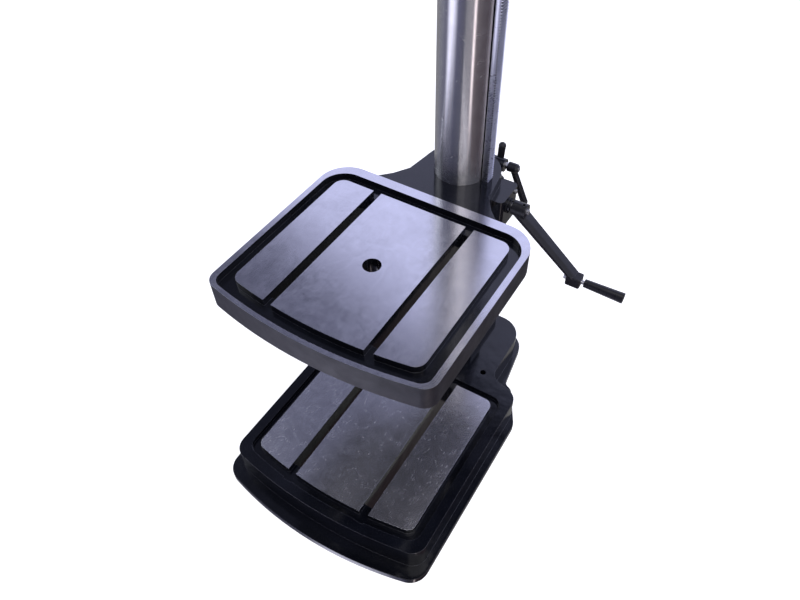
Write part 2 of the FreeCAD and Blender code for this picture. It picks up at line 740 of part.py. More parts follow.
def spring_cup():
    cup = rod(cup_radius, at(cup_left, feed_y, feed_z), at(cup_right, feed_y, feed_z))
    cup = cup.cut(rod(cup_radius - cup_wall, at(cup_left + cup_wall, feed_y, feed_z),
                      at(cup_right, feed_y, feed_z)))
    notch = block(cup_left - 1, cup_right + 1, feed_y + cup_radius - 2, feed_y + cup_radius + 3,
                  feed_z - 4, feed_z + 4)
    for number in range(3):
        cup = cup.cut(notch.rotated(at(0, feed_y, feed_z), at(1, 0, 0), 120 * number))
    return cup.cut(rod(feed_shaft_radius + running_gap, at(cup_left - 1, feed_y, feed_z),
                       at(-60, feed_y, feed_z)))


def return_spring():
    """Flat spiral spring drawn as half turns on two alternating centres."""
    turns = []
    step = 2.2
    for number in range(8):
        radius = 15 + step * number
        middle = feed_y + (step / 2 if number % 2 else -step / 2)
        half = ring(radius + 0.5, radius - 0.5, at(-86, middle, feed_z), at(-72, middle, feed_z))
        above = block(-90, -68, feed_y - 50, feed_y + 50, feed_z, feed_z + 50)
        below = block(-90, -68, feed_y - 50, feed_y + 50, feed_z - 50, feed_z)
        turns.append(half.common(below if number % 2 else above))
    return joined(turns)


def depth_bracket():
    top = quill_bottom + 12
    clamp = ring(46, quill_radius, at(0, spindle_y, quill_bottom), at(0, spindle_y, top))
    arm = block(depth_x - 12, -42, spindle_y - 10, spindle_y + 10, quill_bottom, top)
    bore = rod(depth_rod_radius, at(depth_x, spindle_y, quill_bottom), at(depth_x, spindle_y, top + 8))
    return clamp.fuse(arm).cut(bore)


def depth_rod():
    start = at(depth_x, spindle_y, quill_bottom)
    return rod(depth_rod_radius, start, at(depth_x, spindle_y, depth_rod_top))


def depth_nuts():
    nuts = []
    for z in (1467, 1478):
        start = at(depth_x, spindle_y, z)
        nuts.append(hexagon(18, start, start + at(0, 0, 10), depth_rod_radius))
    return Part.makeCompound(nuts)


def quill_lock_lever():
    start = at(31.5, spindle_y - 23.1, lock_z)
    out = at(78, spindle_y - 58.3, lock_z)
    stud = rod(5 - fit_gap, start, out)
    tip = at(84, spindle_y - 62.8, lock_z - 60)
    return joined([stud, Part.makeSphere(9, out), rod(5, out, tip), Part.makeSphere(8.5, tip)])


# belt drive

def step_pulley(y, radii, bore):
    """Stepped V-belt pulley; radii run from the lowest step to the highest."""
    parts = [rod(26, at(0, y, pulley_bottom - 14), at(0, y, pulley_bottom))]
    for number, radius in enumerate(radii):
        z = pulley_bottom + number * step_height
        parts.append(rod(radius + 3, at(0, y, z), at(0, y, z + step_height)))
    body = joined(parts)
    for number, radius in enumerate(radii):
        body = body.cut(groove(y, radius, pulley_bottom + (number + 0.5) * step_height))
    return body.cut(rod(bore, at(0, y, 1500), at(0, y, 1700)))


def groove(y, radius, z):
    """V-shaped ring cut for a belt whose outer face runs at radius."""
    clearance = 0.4
    corners = []
    for away in (4, -belt_depth - 1.5):
        half = belt_half + clearance + belt_slope * away
        corners.append((radius + away, half))
    (outer, wide), (inner, narrow) = corners
    face = polygon([at(0, y + inner, z - narrow), at(0, y + outer, z - wide),
                    at(0, y + outer, z + wide), at(0, y + inner, z + narrow)])
    return face.revolve(at(0, y, z), at(0, 0, 1), 360)


def belt(y_front, radius_front, y_rear, radius_rear, level):
    """V-belt swept round two pulley steps and along the two tangents between them."""
    z = pulley_bottom + (level + 0.5) * step_height
    lean = math.asin((radius_front - radius_rear) / (y_rear - y_front))
    side, along = math.cos(lean), math.sin(lean)
    front_y = y_front + radius_front * along
    rear_y = y_rear + radius_rear * along
    front = [at(radius_front * side, front_y, z), at(0, y_front - radius_front, z),
             at(-radius_front * side, front_y, z)]
    rear = [at(-radius_rear * side, rear_y, z), at(0, y_rear + radius_rear, z),
            at(radius_rear * side, rear_y, z)]
    path = Part.Wire([Part.Arc(*front).toShape(), Part.makeLine(front[2], rear[0]),
                      Part.Arc(*rear).toShape(), Part.makeLine(rear[2], front[0])])
    inward = at(-side, -along, 0)
    narrow = belt_half - belt_slope * belt_depth
    start = front[0]
    deep = start + inward * belt_depth
    up = at(0, 0, 1)
    section = [start - up * belt_half, start + up * belt_half, deep + up * narrow, deep - up * narrow]
    profile = Part.makePolygon(section + [section[0]])
    return path.makePipeShell([profile], True, False)


def spindle_pulley():
    return step_pulley(spindle_y, step_radii[::-1], sleeve_body)


def spindle_sleeve():
    body = rod(sleeve_body, at(0, spindle_y, 1498), at(0, spindle_y, pulley_top + 8))
    nut = hexagon(40, at(0, spindle_y, pulley_top), at(0, spindle_y, pulley_top + 8))
    return body.fuse(nut).cut(splined(spline_root + 0.2, spindle_radius + 0.3, 2.2, 1490, 1650))


def sleeve_bearings():
    rings = []
    for z in sleeve_bearing_heights:
        rings.append(ring(sleeve_bore, sleeve_body, at(0, spindle_y, z), at(0, spindle_y, z + 14)))
    return Part.makeCompound(rings)


def idler_shaft():
    base = rod(13, at(0, idler_y, head_top), at(0, idler_y, pulley_bottom - 16))
    return base.fuse(rod(idler_radius, at(0, idler_y, head_top - 16), at(0, idler_y, pulley_top + 6)))


def idler_pulley():
    return step_pulley(idler_y, step_radii, idler_radius + fit_gap)


def motor_pulley():
    return step_pulley(motor_y, step_radii[::-1], motor_shaft_radius)


def cover_outline(inset, z0, z1):
    """Long rounded block the size of the belt cover, drawn in by inset all round."""
    half = cover_half - inset
    front = rod(half, at(0, spindle_y, z0), at(0, spindle_y, z1))
    rear = rod(half, at(0, motor_y, z0), at(0, motor_y, z1))
    middle = block(-half, half, spindle_y, motor_y, z0, z1)
    return joined([front, middle, rear])


def cover_pan():
    pan = cover_outline(0, head_top, cover_split)
    pan = pan.cut(cover_outline(cover_wall, head_top + cover_wall, cover_split))
    pan = pan.cut(rod(31, at(0, spindle_y, head_top), at(0, spindle_y, cover_split)))
    pan = pan.cut(rod(13, at(0, idler_y, head_top), at(0, idler_y, cover_split)))
    return pan.cut(block(-32, 32, motor_y - 40, motor_y + 40, head_top, head_top + 3))


def cover_lid():
    lid = cover_outline(0, cover_split + 0.5, cover_top)
    lid = lid.cut(cover_outline(cover_wall, cover_split, cover_top - cover_wall))
    knuckles = [rod(5, at(hinge_x, y, hinge_z), at(hinge_x, y + 40, hinge_z)) for y in hinge_places]
    lid = joined([lid] + knuckles)
    return lid.cut(rod(hinge_pin_radius + fit_gap, at(hinge_x, -200, hinge_z), at(hinge_x, 100, hinge_z)))


def hinge_pins():
    """Two pins, each held by an ear at both ends; the ears stand on the pan's side."""
    pins = []
    for start in hinge_places:
        parts = [rod(hinge_pin_radius, at(hinge_x, start - 10, hinge_z), at(hinge_x, start + 50, hinge_z))]
        for y in (start - 10, start + 41):
            parts.append(rod(3.8, at(hinge_x, y, hinge_z), at(hinge_x, y + 9, hinge_z)))
            parts.append(block(hinge_x - 3.5, hinge_x + 1, y, y + 9, head_top + 4, hinge_z))
            parts.append(block(hinge_x - 3.5, hinge_x + 4, y, y + 9, head_top + 4, hinge_z - 5.5))
        pins.append(joined(parts))
    return Part.makeCompound(pins)


def lid_knob():
    stem = rod(6, at(cover_half, -60, 1600), at(122, -60, 1600))
    return stem.fuse(taper(11, 14, at(122, -60, 1600), at(136, -60, 1600)))


# motor and switch

def motor_body():
    body = rod(motor_radius, at(0, motor_y, motor_bottom + 40), at(0, motor_y, motor_top))
    for number in range(fin_count):
        if number in plain_places:
            continue
        fin = block(motor_radius - 1, motor_radius + 7, -1.1, 1.1, motor_bottom + 52, motor_top - 24)
        fin.rotate(at(0, 0, 0), at(0, 0, 1), 360 / fin_count * number)
        fin.translate(at(0, motor_y, 0))
        body = body.fuse(fin)
    foot = block(-58, 58, plate_rear, motor_y, motor_bottom + 70, motor_top - 40)
    bore = rod(motor_shaft_radius + running_gap, at(0, motor_y, motor_top - 30), at(0, motor_y, motor_top))
    return body.fuse(foot).cut(bore)


def motor_shaft():
    return rod(motor_shaft_radius, at(0, motor_y, motor_top - 30), at(0, motor_y, pulley_top + 4))


def motor_fan_cover():
    low = at(0, motor_y, motor_bottom)
    inside = low + at(0, 0, 3)
    cover = ring(motor_radius + 2, motor_radius, low, low + at(0, 0, 48))
    plate = rod(motor_radius, low, inside)
    for radius in (20, 34, 48, 62):
        slot_ring = ring(radius + 3, radius - 3, low, inside)
        spokes = block(-4, 4, motor_y - 80, motor_y + 80, motor_bottom, motor_bottom + 3)
        spokes = spokes.fuse(block(-80, 80, motor_y - 4, motor_y + 4, motor_bottom, motor_bottom + 3))
        plate = plate.cut(slot_ring.cut(spokes))
    return cover.fuse(plate)


def terminal_box():
    box = upright_rounded(block(72, 112, motor_y - 38, motor_y + 38, 1400, 1480), 6)
    box = box.cut(rod(motor_radius + 7.3, at(0, motor_y, 1390), at(0, motor_y, 1490)))
    gland = ring(9, 5, at(94, motor_y, 1386), at(94, motor_y, 1400))
    foot = block(60, 88, motor_y - 12, motor_y + 12, 1425, 1455)
    foot = foot.cut(rod(motor_radius, at(0, motor_y, 1390), at(0, motor_y, 1490)))
    return box.fuse(gland).fuse(foot)


def motor_plate():
    plate = block(-84, 84, plate_front, plate_rear, motor_bottom + 60, motor_top - 12)
    for x, z in motor_bolt_places:
        plate = plate.cut(rod(4, at(x, 80, z), at(x, 120, z)))
    for x in (-slide_bar_x, slide_bar_x):
        plate = plate.cut(rod(slide_bar_radius, at(x, 80, slide_bar_z), at(x, 110, slide_bar_z)))
    return plate


def motor_bolts():
    bolts = []
    for x, z in motor_bolt_places:
        head = hexagon(13, at(x, plate_front - 6, z), at(x, plate_front, z))
        bolts.append(head.fuse(rod(4, at(x, plate_front, z), at(x, plate_rear, z))))
    return Part.makeCompound(bolts)


def motor_slide_bars():
    bars = []
    for x in (-slide_bar_x, slide_bar_x):
        bars.append(rod(slide_bar_radius, at(x, -36, slide_bar_z), at(x, plate_rear, slide_bar_z)))
    return Part.makeCompound(bars)


def switch_box():
    box = block(-switch_half, switch_half, switch_front, switch_rear, switch_low, switch_high)
    box = upright_rounded(box, 5)
    inner = switch_half - switch_wall
    box = box.cut(block(-inner, inner, switch_front + 3, switch_rear, switch_low + switch_wall,
                        switch_high - switch_wall))
    for z in (stop_z, start_z):
        box = box.cut(rod(12.3, at(0, switch_front - 1, z), at(0, switch_front + 4, z)))
    return box


def push_button(z, proud):
    face = rod(12, at(0, switch_front - proud, z), at(0, switch_front + 6, z))
    return face.fuse(rod(14, at(0, switch_front + 6, z), at(0, switch_front + 9, z)))


nodes = {
    "base_casting": base_casting,
    "column_flange": column_flange,
    "flange_bolts": flange_bolts,
    "column_tube": column_tube,
    "rack": rack,
    "rack_ring": rack_ring,
    "table_casting": table_casting,
    "gearbox_cover": gearbox_cover,
    "lift_gear": lift_gear,
    "lift_gear_pin": lift_gear_pin,
    "worm_shaft": worm_shaft,
    "crank_arm": crank_arm,
    "grip_bolt": grip_bolt,
    "crank_grip": crank_grip,
    "clamp_studs": clamp_studs,
    "clamp_lever_upper": lambda: clamp_lever(upper_stud, 68, 70, 32, 0),
    "clamp_lever_lower": lambda: clamp_lever(lower_stud, 31, 76, 1, 175),
    "head_casting": head_casting,
    "set_screws": set_screws,
    "quill_tube": quill_tube,
    "quill_bearings": quill_bearings,
    "spindle_shaft": spindle_shaft,
    "chuck_body": chuck_body,
    "chuck_sleeve": chuck_sleeve,
    "chuck_jaw_1": lambda: chuck_jaw(0),
    "chuck_jaw_2": lambda: chuck_jaw(1),
    "chuck_jaw_3": lambda: chuck_jaw(2),
    "feed_shaft": feed_shaft,
    "feed_hub": feed_hub,
    "feed_spokes": feed_spokes,
    "feed_knobs": feed_knobs,
    "spring_cup": spring_cup,
    "return_spring": return_spring,
    "depth_bracket": depth_bracket,
    "depth_rod": depth_rod,
    "depth_nuts": depth_nuts,
    "quill_lock_lever": quill_lock_lever,
    "spindle_pulley": spindle_pulley,
    "spindle_sleeve": spindle_sleeve,
    "sleeve_bearings": sleeve_bearings,
    "idler_shaft": idler_shaft,
    "idler_pulley": idler_pulley,
    "motor_pulley": motor_pulley,
    "front_belt": lambda: belt(spindle_y, step_radii[3], idler_y, step_radii[0], 0),
    "rear_belt": lambda: belt(idler_y, step_radii[3], motor_y, step_radii[0], 3),
    "cover_pan": cover_pan,
    "cover_lid": cover_lid,
    "hinge_pins": hinge_pins,
    "lid_knob": lid_knob,
    "motor_body": motor_body,
    "motor_shaft": motor_shaft,
    "motor_fan_cover": motor_fan_cover,
    "terminal_box": terminal_box,
    "motor_plate": motor_plate,
    "motor_bolts": motor_bolts,
    "motor_slide_bars": motor_slide_bars,
    "switch_box": switch_box,
    "start_button": lambda: push_button(start_z, 1),
    "stop_button": lambda: push_button(stop_z, 6),
}

os.makedirs("parts", exist_ok=True)
for name, make in nodes.items():
    shape = make()
    shape.exportStep("parts/" + name + ".step")
    state = "valid" if shape.isValid() else "INVALID"
    print(name, state, len(shape.Solids), "solids", round(shape.Volume / 1000, 1), "cm3")
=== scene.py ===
import math
import bmesh
import bpy
from mathutils import Matrix, Vector


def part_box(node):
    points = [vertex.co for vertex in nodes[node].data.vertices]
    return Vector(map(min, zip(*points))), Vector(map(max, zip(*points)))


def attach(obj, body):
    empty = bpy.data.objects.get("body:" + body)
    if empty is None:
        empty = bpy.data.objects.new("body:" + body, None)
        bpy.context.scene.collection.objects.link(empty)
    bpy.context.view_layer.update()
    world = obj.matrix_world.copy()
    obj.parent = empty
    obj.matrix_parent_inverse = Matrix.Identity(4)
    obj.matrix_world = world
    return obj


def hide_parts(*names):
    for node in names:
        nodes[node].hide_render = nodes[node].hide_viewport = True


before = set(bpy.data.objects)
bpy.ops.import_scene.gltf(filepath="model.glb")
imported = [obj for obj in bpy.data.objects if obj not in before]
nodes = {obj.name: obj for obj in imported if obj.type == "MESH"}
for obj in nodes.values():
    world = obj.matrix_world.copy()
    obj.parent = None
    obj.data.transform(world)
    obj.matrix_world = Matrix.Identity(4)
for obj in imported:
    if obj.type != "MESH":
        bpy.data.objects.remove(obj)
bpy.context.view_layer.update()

print("frame loaded,", len(nodes), "nodes")

# camera
cameraSpec = {
    "place": (0.4784, -0.9415, 1.3253),
    "heading": 30.123,  # degrees left of +Y
    "down": 48.284,  # degrees below the horizon
    "roll": 0.570,
    "lens": 30.82,
    "shiftX": -0.0353,
    "shiftY": 0.0058,
}


def makeCamera(spec):
    heading = math.radians(spec["heading"])
    down = math.radians(spec["down"])
    roll = math.radians(spec["roll"])
    level = math.cos(down)
    forward = Vector((-math.sin(heading) * level, math.cos(heading) * level, -math.sin(down)))
    right = Vector((math.cos(heading), math.sin(heading), 0.0))
    up = right.cross(forward)
    turnedRight = right * math.cos(roll) + up * math.sin(roll)
    turnedUp = up * math.cos(roll) - right * math.sin(roll)
    data = bpy.data.cameras.new("viewCamera")
    data.sensor_width = 36.0
    data.lens = spec["lens"]
    data.shift_x = spec["shiftX"]
    data.shift_y = spec["shiftY"]
    data.clip_start = 0.01
    data.clip_end = 60.0
    camera = bpy.data.objects.new("viewCamera", data)
    bpy.context.scene.collection.objects.link(camera)
    turn = Matrix((turnedRight, turnedUp, -forward)).transposed().to_4x4()
    camera.matrix_world = Matrix.Translation(Vector(spec["place"])) @ turn
    bpy.context.scene.camera = camera


makeCamera(cameraSpec)

# studio
studioSpec = {
    "floorSize": 24.0,
    "floorGlow": 0.86,
    "floorTone": (0.9, 0.9, 0.9, 1.0),
    # the foot sizes set the box of painted shadow on the floor under the base
    "footHalfX": 0.14,
    "footHalfY": 0.27,
    "footMiddleY": -0.24,
    "footShadowFade": 0.02,
    "backdropGlow": 1.0,
    "panels": [  # name, place, aim, size, watts, colour
        ("topPanel", (0.6, -0.6, 3.4), (0.0, -0.2, 0.6), (2.4, 2.4), 26.0, (1.0, 0.98, 1.0)),
        ("leftPanel", (-2.4, -0.4, 1.9), (0.0, -0.2, 0.5), (1.6, 2.0), 14.0, (0.86, 0.90, 1.0)),
        ("frontPanel", (1.6, -2.4, 1.6), (0.0, -0.2, 0.6), (1.6, 1.6), 8.0, (1.0, 0.97, 0.98)),
    ],
    "skyBright": (0.72, 0.75, 1.08, 1.0),
    "skyDark": (0.095, 0.10, 0.155, 1.0),
    "skyEdgeNormal": (0.194, 0.884, -0.425),
    "skyEdge": (0.055, 0.135),
    "sideWall": (0.50, 0.50, 0.60, 1.0),
    "sideWallFacing": (0.932, -0.301, 0.200),
    "sideWallEdge": (0.62, 0.80),
    "horizon": (-0.10, 0.12),
    "bandTurn": 150.0,  # degrees, so that 0.5 along the bands is the near side
}


def newNode(tree, kind, **settings):
    node = tree.nodes.new(kind)
    for name, value in settings.items():
        setattr(node, name, value)
    return node


def feed(tree, socket, source):
    # a socket takes a link, or a plain value
    if isinstance(source, bpy.types.NodeSocket):
        tree.links.new(source, socket)
    else:
        socket.default_value = source


def mathNode(tree, operation, first, second=None, clamp=False):
    node = newNode(tree, "ShaderNodeMath", operation=operation, use_clamp=clamp)
    feed(tree, node.inputs[0], first)
    if second is not None:
        feed(tree, node.inputs[1], second)
    return node.outputs[0]


def mixColour(tree, factor, first, second, blend="MIX"):
    node = newNode(tree, "ShaderNodeMix", data_type="RGBA", blend_type=blend)
    feed(tree, node.inputs[0], factor)
    feed(tree, node.inputs[6], first)
    feed(tree, node.inputs[7], second)
    return node.outputs[2]


def ramp(tree, factor, stops, interpolation="LINEAR"):
    node = newNode(tree, "ShaderNodeValToRGB")
    node.color_ramp.interpolation = interpolation
    elements = node.color_ramp.elements
    while len(elements) < len(stops):
        elements.new(0.5)
    for element, (place, colour) in zip(elements, stops):
        element.position = place
        element.color = colour if hasattr(colour, "__len__") else (colour, colour, colour, 1.0)
    feed(tree, node.inputs[0], factor)
    return node.outputs[0]


def mapRange(tree, value, lowIn, highIn, lowOut, highOut, smooth=False):
    node = newNode(tree, "ShaderNodeMapRange", interpolation_type="SMOOTHSTEP" if smooth else "LINEAR")
    feed(tree, node.inputs[0], value)
    for index, number in enumerate((lowIn, highIn, lowOut, highOut)):
        node.inputs[index + 1].default_value = number
    return node.outputs[0]


def makeWorld(spec):
    # plain white to look at; reflections see a studio with a slanting window and bands round the sides
    world = bpy.data.worlds.new("studioWorld")
    bpy.context.scene.world = world
    world.use_nodes = True
    tree = world.node_tree
    tree.nodes.clear()
    coords = newNode(tree, "ShaderNodeTexCoord")
    split = newNode(tree, "ShaderNodeSeparateXYZ")
    tree.links.new(coords.outputs["Generated"], split.inputs[0])
    dot = newNode(tree, "ShaderNodeVectorMath", operation="DOT_PRODUCT")
    tree.links.new(coords.outputs["Generated"], dot.inputs[0])
    dot.inputs[1].default_value = spec["skyEdgeNormal"]
    window = mapRange(tree, dot.outputs["Value"], *spec["skyEdge"], 0.0, 1.0, smooth=True)
    upper = mixColour(tree, window, spec["skyDark"], spec["skyBright"])
    # a lit wall on the right, which the column carries into the table's ground top
    facing = newNode(tree, "ShaderNodeVectorMath", operation="DOT_PRODUCT")
    tree.links.new(coords.outputs["Generated"], facing.inputs[0])
    facing.inputs[1].default_value = spec["sideWallFacing"]
    wall = mapRange(tree, facing.outputs["Value"], *spec["sideWallEdge"], 0.0, 1.0, smooth=True)
    upper = mixColour(tree, wall, upper, spec["sideWall"])
    heading = mathNode(tree, "ARCTAN2", split.outputs[0], split.outputs[1])
    turn = mathNode(tree, "DIVIDE", heading, 2.0 * math.pi)
    turn = mathNode(tree, "FRACT", mathNode(tree, "SUBTRACT", 1.5 + spec["bandTurn"] / 360.0, turn))
    bands = ramp(tree, turn, spec["bands"])
    below = mapRange(tree, split.outputs[2], *spec["horizon"], 0.0, 1.0, smooth=True)
    around = mixColour(tree, below, bands, upper)
    seen = newNode(tree, "ShaderNodeLightPath")
    white = newNode(tree, "ShaderNodeBackground")
    white.inputs[0].default_value = (1.0, 1.0, 1.0, 1.0)
    white.inputs[1].default_value = spec["backdropGlow"]
    studio = newNode(tree, "ShaderNodeBackground")
    tree.links.new(around, studio.inputs[0])
    studio.inputs[1].default_value = 1.0
    mix = newNode(tree, "ShaderNodeMixShader")
    tree.links.new(seen.outputs["Is Camera Ray"], mix.inputs[0])
    tree.links.new(studio.outputs[0], mix.inputs[1])
    tree.links.new(white.outputs[0], mix.inputs[2])
    out = newNode(tree, "ShaderNodeOutputWorld")
    tree.links.new(mix.outputs[0], out.inputs[0])


def grey(value, blue=1.0):
    return (value, value, value * blue, 1.0)


studioSpec["bands"] = [
    (0.00, grey(0.85)),
    (0.06, grey(0.30)),
    (0.20, grey(0.14, 1.4)),
    (0.270, grey(0.16, 1.5)),
    (0.295, grey(1.50, 1.25)),
    (0.350, grey(1.45, 1.25)),
    (0.388, grey(0.18, 1.6)),
    (0.48, grey(0.07, 1.4)),
    (0.546, (0.16, 0.14, 0.17, 1.0)),
    (0.556, (1.70, 1.50, 1.55, 1.0)),
    (0.568, (1.70, 1.50, 1.55, 1.0)),
    (0.578, (0.15, 0.115, 0.13, 1.0)),
    (0.600, (0.09, 0.07, 0.078, 1.0)),
    (0.66, (0.055, 0.040, 0.048, 1.0)),
    (0.82, (0.050, 0.036, 0.042, 1.0)),
    (0.90, grey(0.35)),
    (1.00, grey(0.85)),
]
makeWorld(studioSpec)


def makeFloor(spec):
    half = spec["floorSize"] / 2.0
    mesh = bpy.data.meshes.new("studioFloor")
    corners = [(-half, -half, 0.0), (half, -half, 0.0), (half, half, 0.0), (-half, half, 0.0)]
    mesh.from_pydata(corners, [], [(0, 1, 2, 3)])
    floor = bpy.data.objects.new("studioFloor", mesh)
    bpy.context.scene.collection.objects.link(floor)
    material = bpy.data.materials.new("paleFloor")
    material.use_nodes = True
    tree = material.node_tree
    tree.nodes.clear()
    glow = newNode(tree, "ShaderNodeEmission")
    glow.inputs[0].default_value = (1.0, 1.0, 1.0, 1.0)
    # painted shadow: no glow under the base's footprint, fading in at its edge, so the floor is painted dark
    # under the base and its slots look down on that painted shade
    place = newNode(tree, "ShaderNodeSeparateXYZ")
    tree.links.new(newNode(tree, "ShaderNodeTexCoord").outputs["Object"], place.inputs[0])
    across = mathNode(tree, "SUBTRACT", mathNode(tree, "ABSOLUTE", place.outputs[0]), spec["footHalfX"])
    fromMiddle = mathNode(tree, "SUBTRACT", place.outputs[1], spec["footMiddleY"])
    along = mathNode(tree, "SUBTRACT", mathNode(tree, "ABSOLUTE", fromMiddle), spec["footHalfY"])
    apart = mathNode(tree, "MAXIMUM", across, along)
    shadowedGlow = mapRange(tree, apart, 0.0, spec["footShadowFade"], 0.0, spec["floorGlow"])
    tree.links.new(shadowedGlow, glow.inputs[1])
    paint = newNode(tree, "ShaderNodeBsdfDiffuse")
    paint.inputs[0].default_value = spec["floorTone"]
    both = newNode(tree, "ShaderNodeAddShader")
    tree.links.new(glow.outputs[0], both.inputs[0])
    tree.links.new(paint.outputs[0], both.inputs[1])
    clear = newNode(tree, "ShaderNodeBsdfTransparent")
    seen = newNode(tree, "ShaderNodeLightPath")
    mix = newNode(tree, "ShaderNodeMixShader")
    tree.links.new(seen.outputs["Is Camera Ray"], mix.inputs[0])
    tree.links.new(clear.outputs[0], mix.inputs[1])
    tree.links.new(both.outputs[0], mix.inputs[2])
    out = newNode(tree, "ShaderNodeOutputMaterial")
    tree.links.new(mix.outputs[0], out.inputs[0])
    mesh.materials.append(material)


makeFloor(studioSpec)


def makePanel(name, place, aim, size, watts, colour):
    data = bpy.data.lights.new(name, "AREA")
    data.shape = "RECTANGLE"
    data.size, data.size_y = size
    data.energy = watts
    data.color = colour
    lamp = bpy.data.objects.new(name, data)
    bpy.context.scene.collection.objects.link(lamp)
    lamp.location = place
    lamp.rotation_euler = (Vector(aim) - Vector(place)).to_track_quat("-Z", "Y").to_euler()
    lamp.visible_camera = False


for panel in studioSpec["panels"]:
    makePanel(*panel)
bpy.context.scene.view_settings.view_transform = "Standard"
print("camera, floor and studio light ready")

# finishes


def startFinish(name):
    material = bpy.data.materials.new(name)
    material.use_nodes = True
    tree = material.node_tree
    shader = tree.nodes["Principled BSDF"]
    coords = newNode(tree, "ShaderNodeTexCoord").outputs["Object"]
    return material, tree, shader, coords


def stretched(tree, coords, scale):
    node = newNode(tree, "ShaderNodeMapping")
    tree.links.new(coords, node.inputs[0])
    node.inputs["Scale"].default_value = scale
    return node.outputs[0]


def noise(tree, coords, scale, detail=3.0, rough=0.55, warp=0.0):
    node = newNode(tree, "ShaderNodeTexNoise")
    tree.links.new(coords, node.inputs["Vector"])
    node.inputs["Scale"].default_value = scale
    node.inputs["Detail"].default_value = detail
    node.inputs["Roughness"].default_value = rough
    node.inputs["Distortion"].default_value = warp
    return node.outputs[0]


def bumped(tree, height, distance, strength=1.0, normal=None):
    node = newNode(tree, "ShaderNodeBump")
    node.inputs["Strength"].default_value = strength
    node.inputs["Distance"].default_value = distance
    tree.links.new(height, node.inputs["Height"])
    if normal is not None:
        tree.links.new(normal, node.inputs["Normal"])
    return node.outputs[0]


def softEdges(tree, radius):
    node = newNode(tree, "ShaderNodeBevel", samples=4)
    node.inputs["Radius"].default_value = radius
    return node.outputs[0]


def edgeMask(tree, rounded, sharpness=6.0):
    # where the rounded normal leaves the true one there is an edge
    geometry = newNode(tree, "ShaderNodeNewGeometry")
    dot = newNode(tree, "ShaderNodeVectorMath", operation="DOT_PRODUCT")
    tree.links.new(rounded, dot.inputs[0])
    tree.links.new(geometry.outputs["Normal"], dot.inputs[1])
    off = mathNode(tree, "SUBTRACT", 1.0, dot.outputs["Value"])
    return mathNode(tree, "MULTIPLY", off, sharpness, clamp=True)


def setShader(shader, metallic, coat, specular, anisotropic):
    shader.inputs["Metallic"].default_value = metallic
    shader.inputs["Coat Weight"].default_value = coat
    shader.inputs["Coat Roughness"].default_value = 0.06
    shader.inputs["Specular IOR Level"].default_value = specular
    shader.inputs["Anisotropic"].default_value = anisotropic


def scaledTone(tone, amount):
    return [min(1.0, part * amount) for part in tone[:3]] + [1.0]


paintDefaults = {
    "peel": 0.0001,  # depth of the orange peel
    "edge": 0.0008,
    "wear": 0.0,  # how bare the edges are
    "wearTone": (0.32, 0.32, 0.36, 1.0),
    "dust": 0.0,
    "dustTone": (0.22, 0.22, 0.24, 1.0),
    "coat": 0.0,
    "specular": 0.5,
}
paints = {  # rough is the range of roughness, lumps the scale and depth of the casting's unevenness
    "black_enamel": {"name": "castEnamelBlack", "tone": (0.006, 0.007, 0.011, 1.0), "rough": (0.09, 0.17),
                     "lumps": (26.0, 0.0006), "peel": 0.00004, "edge": 0.0014, "wear": 0.25, "coat": 0.25,
                     "dust": 0.2},
    "table_iron": {"name": "tableSideSatin", "tone": (0.034, 0.033, 0.040, 1.0), "rough": (0.42, 0.58),
                   "lumps": (60.0, 0.0004), "edge": 0.0012, "wear": 0.5, "dust": 0.5,
                   "wearTone": (0.45, 0.45, 0.5, 1.0)},
    "cover_paint": {"name": "coverPaintBlack", "tone": (0.016, 0.017, 0.022, 1.0), "rough": (0.26, 0.38),
                    "lumps": (12.0, 0.0005), "peel": 0.00008, "edge": 0.0016, "wear": 0.15, "coat": 0.2,
                    "dust": 0.3},
    "motor_paint": {"name": "motorPaintCharcoal", "tone": (0.030, 0.031, 0.036, 1.0), "rough": (0.34, 0.48),
                    "lumps": (40.0, 0.0006), "edge": 0.0010, "wear": 0.3, "dust": 0.4},
    "black_crank": {"name": "crankSatinBlack", "tone": (0.018, 0.018, 0.022, 1.0), "rough": (0.28, 0.42),
                    "lumps": (80.0, 0.0006), "edge": 0.0012, "wear": 0.45, "dust": 0.3},
    "black_lever": {"name": "leverBlack", "tone": (0.014, 0.014, 0.018, 1.0), "rough": (0.22, 0.36),
                    "lumps": (90.0, 0.0003), "peel": 0.00006, "wear": 0.35},
    "switch_plastic": {"name": "switchPlasticBlack", "tone": (0.020, 0.020, 0.022, 1.0), "rough": (0.40, 0.52),
                       "lumps": (200.0, 0.00008), "dust": 0.2},
    "bakelite": {"name": "bakeliteBlack", "tone": (0.012, 0.012, 0.014, 1.0), "rough": (0.10, 0.22),
                 "lumps": (40.0, 0.00010), "peel": 0.00002, "coat": 0.4, "dust": 0.15},
    "green_plastic": {"name": "startGreen", "tone": (0.015, 0.28, 0.075, 1.0), "rough": (0.25, 0.36),
                      "lumps": (90.0, 0.00006), "peel": 0.00003, "edge": 0.0006},
    "red_plastic": {"name": "stopRed", "tone": (0.50, 0.014, 0.014, 1.0), "rough": (0.25, 0.36),
                    "lumps": (90.0, 0.00006), "peel": 0.00003, "edge": 0.0006},
    "belt_rubber": {"name": "beltRubber", "tone": (0.022, 0.022, 0.024, 1.0), "rough": (0.62, 0.80),
                    "lumps": (300.0, 0.00010), "peel": 0.00015, "edge": 0.0004, "dust": 0.5, "specular": 0.25},
}


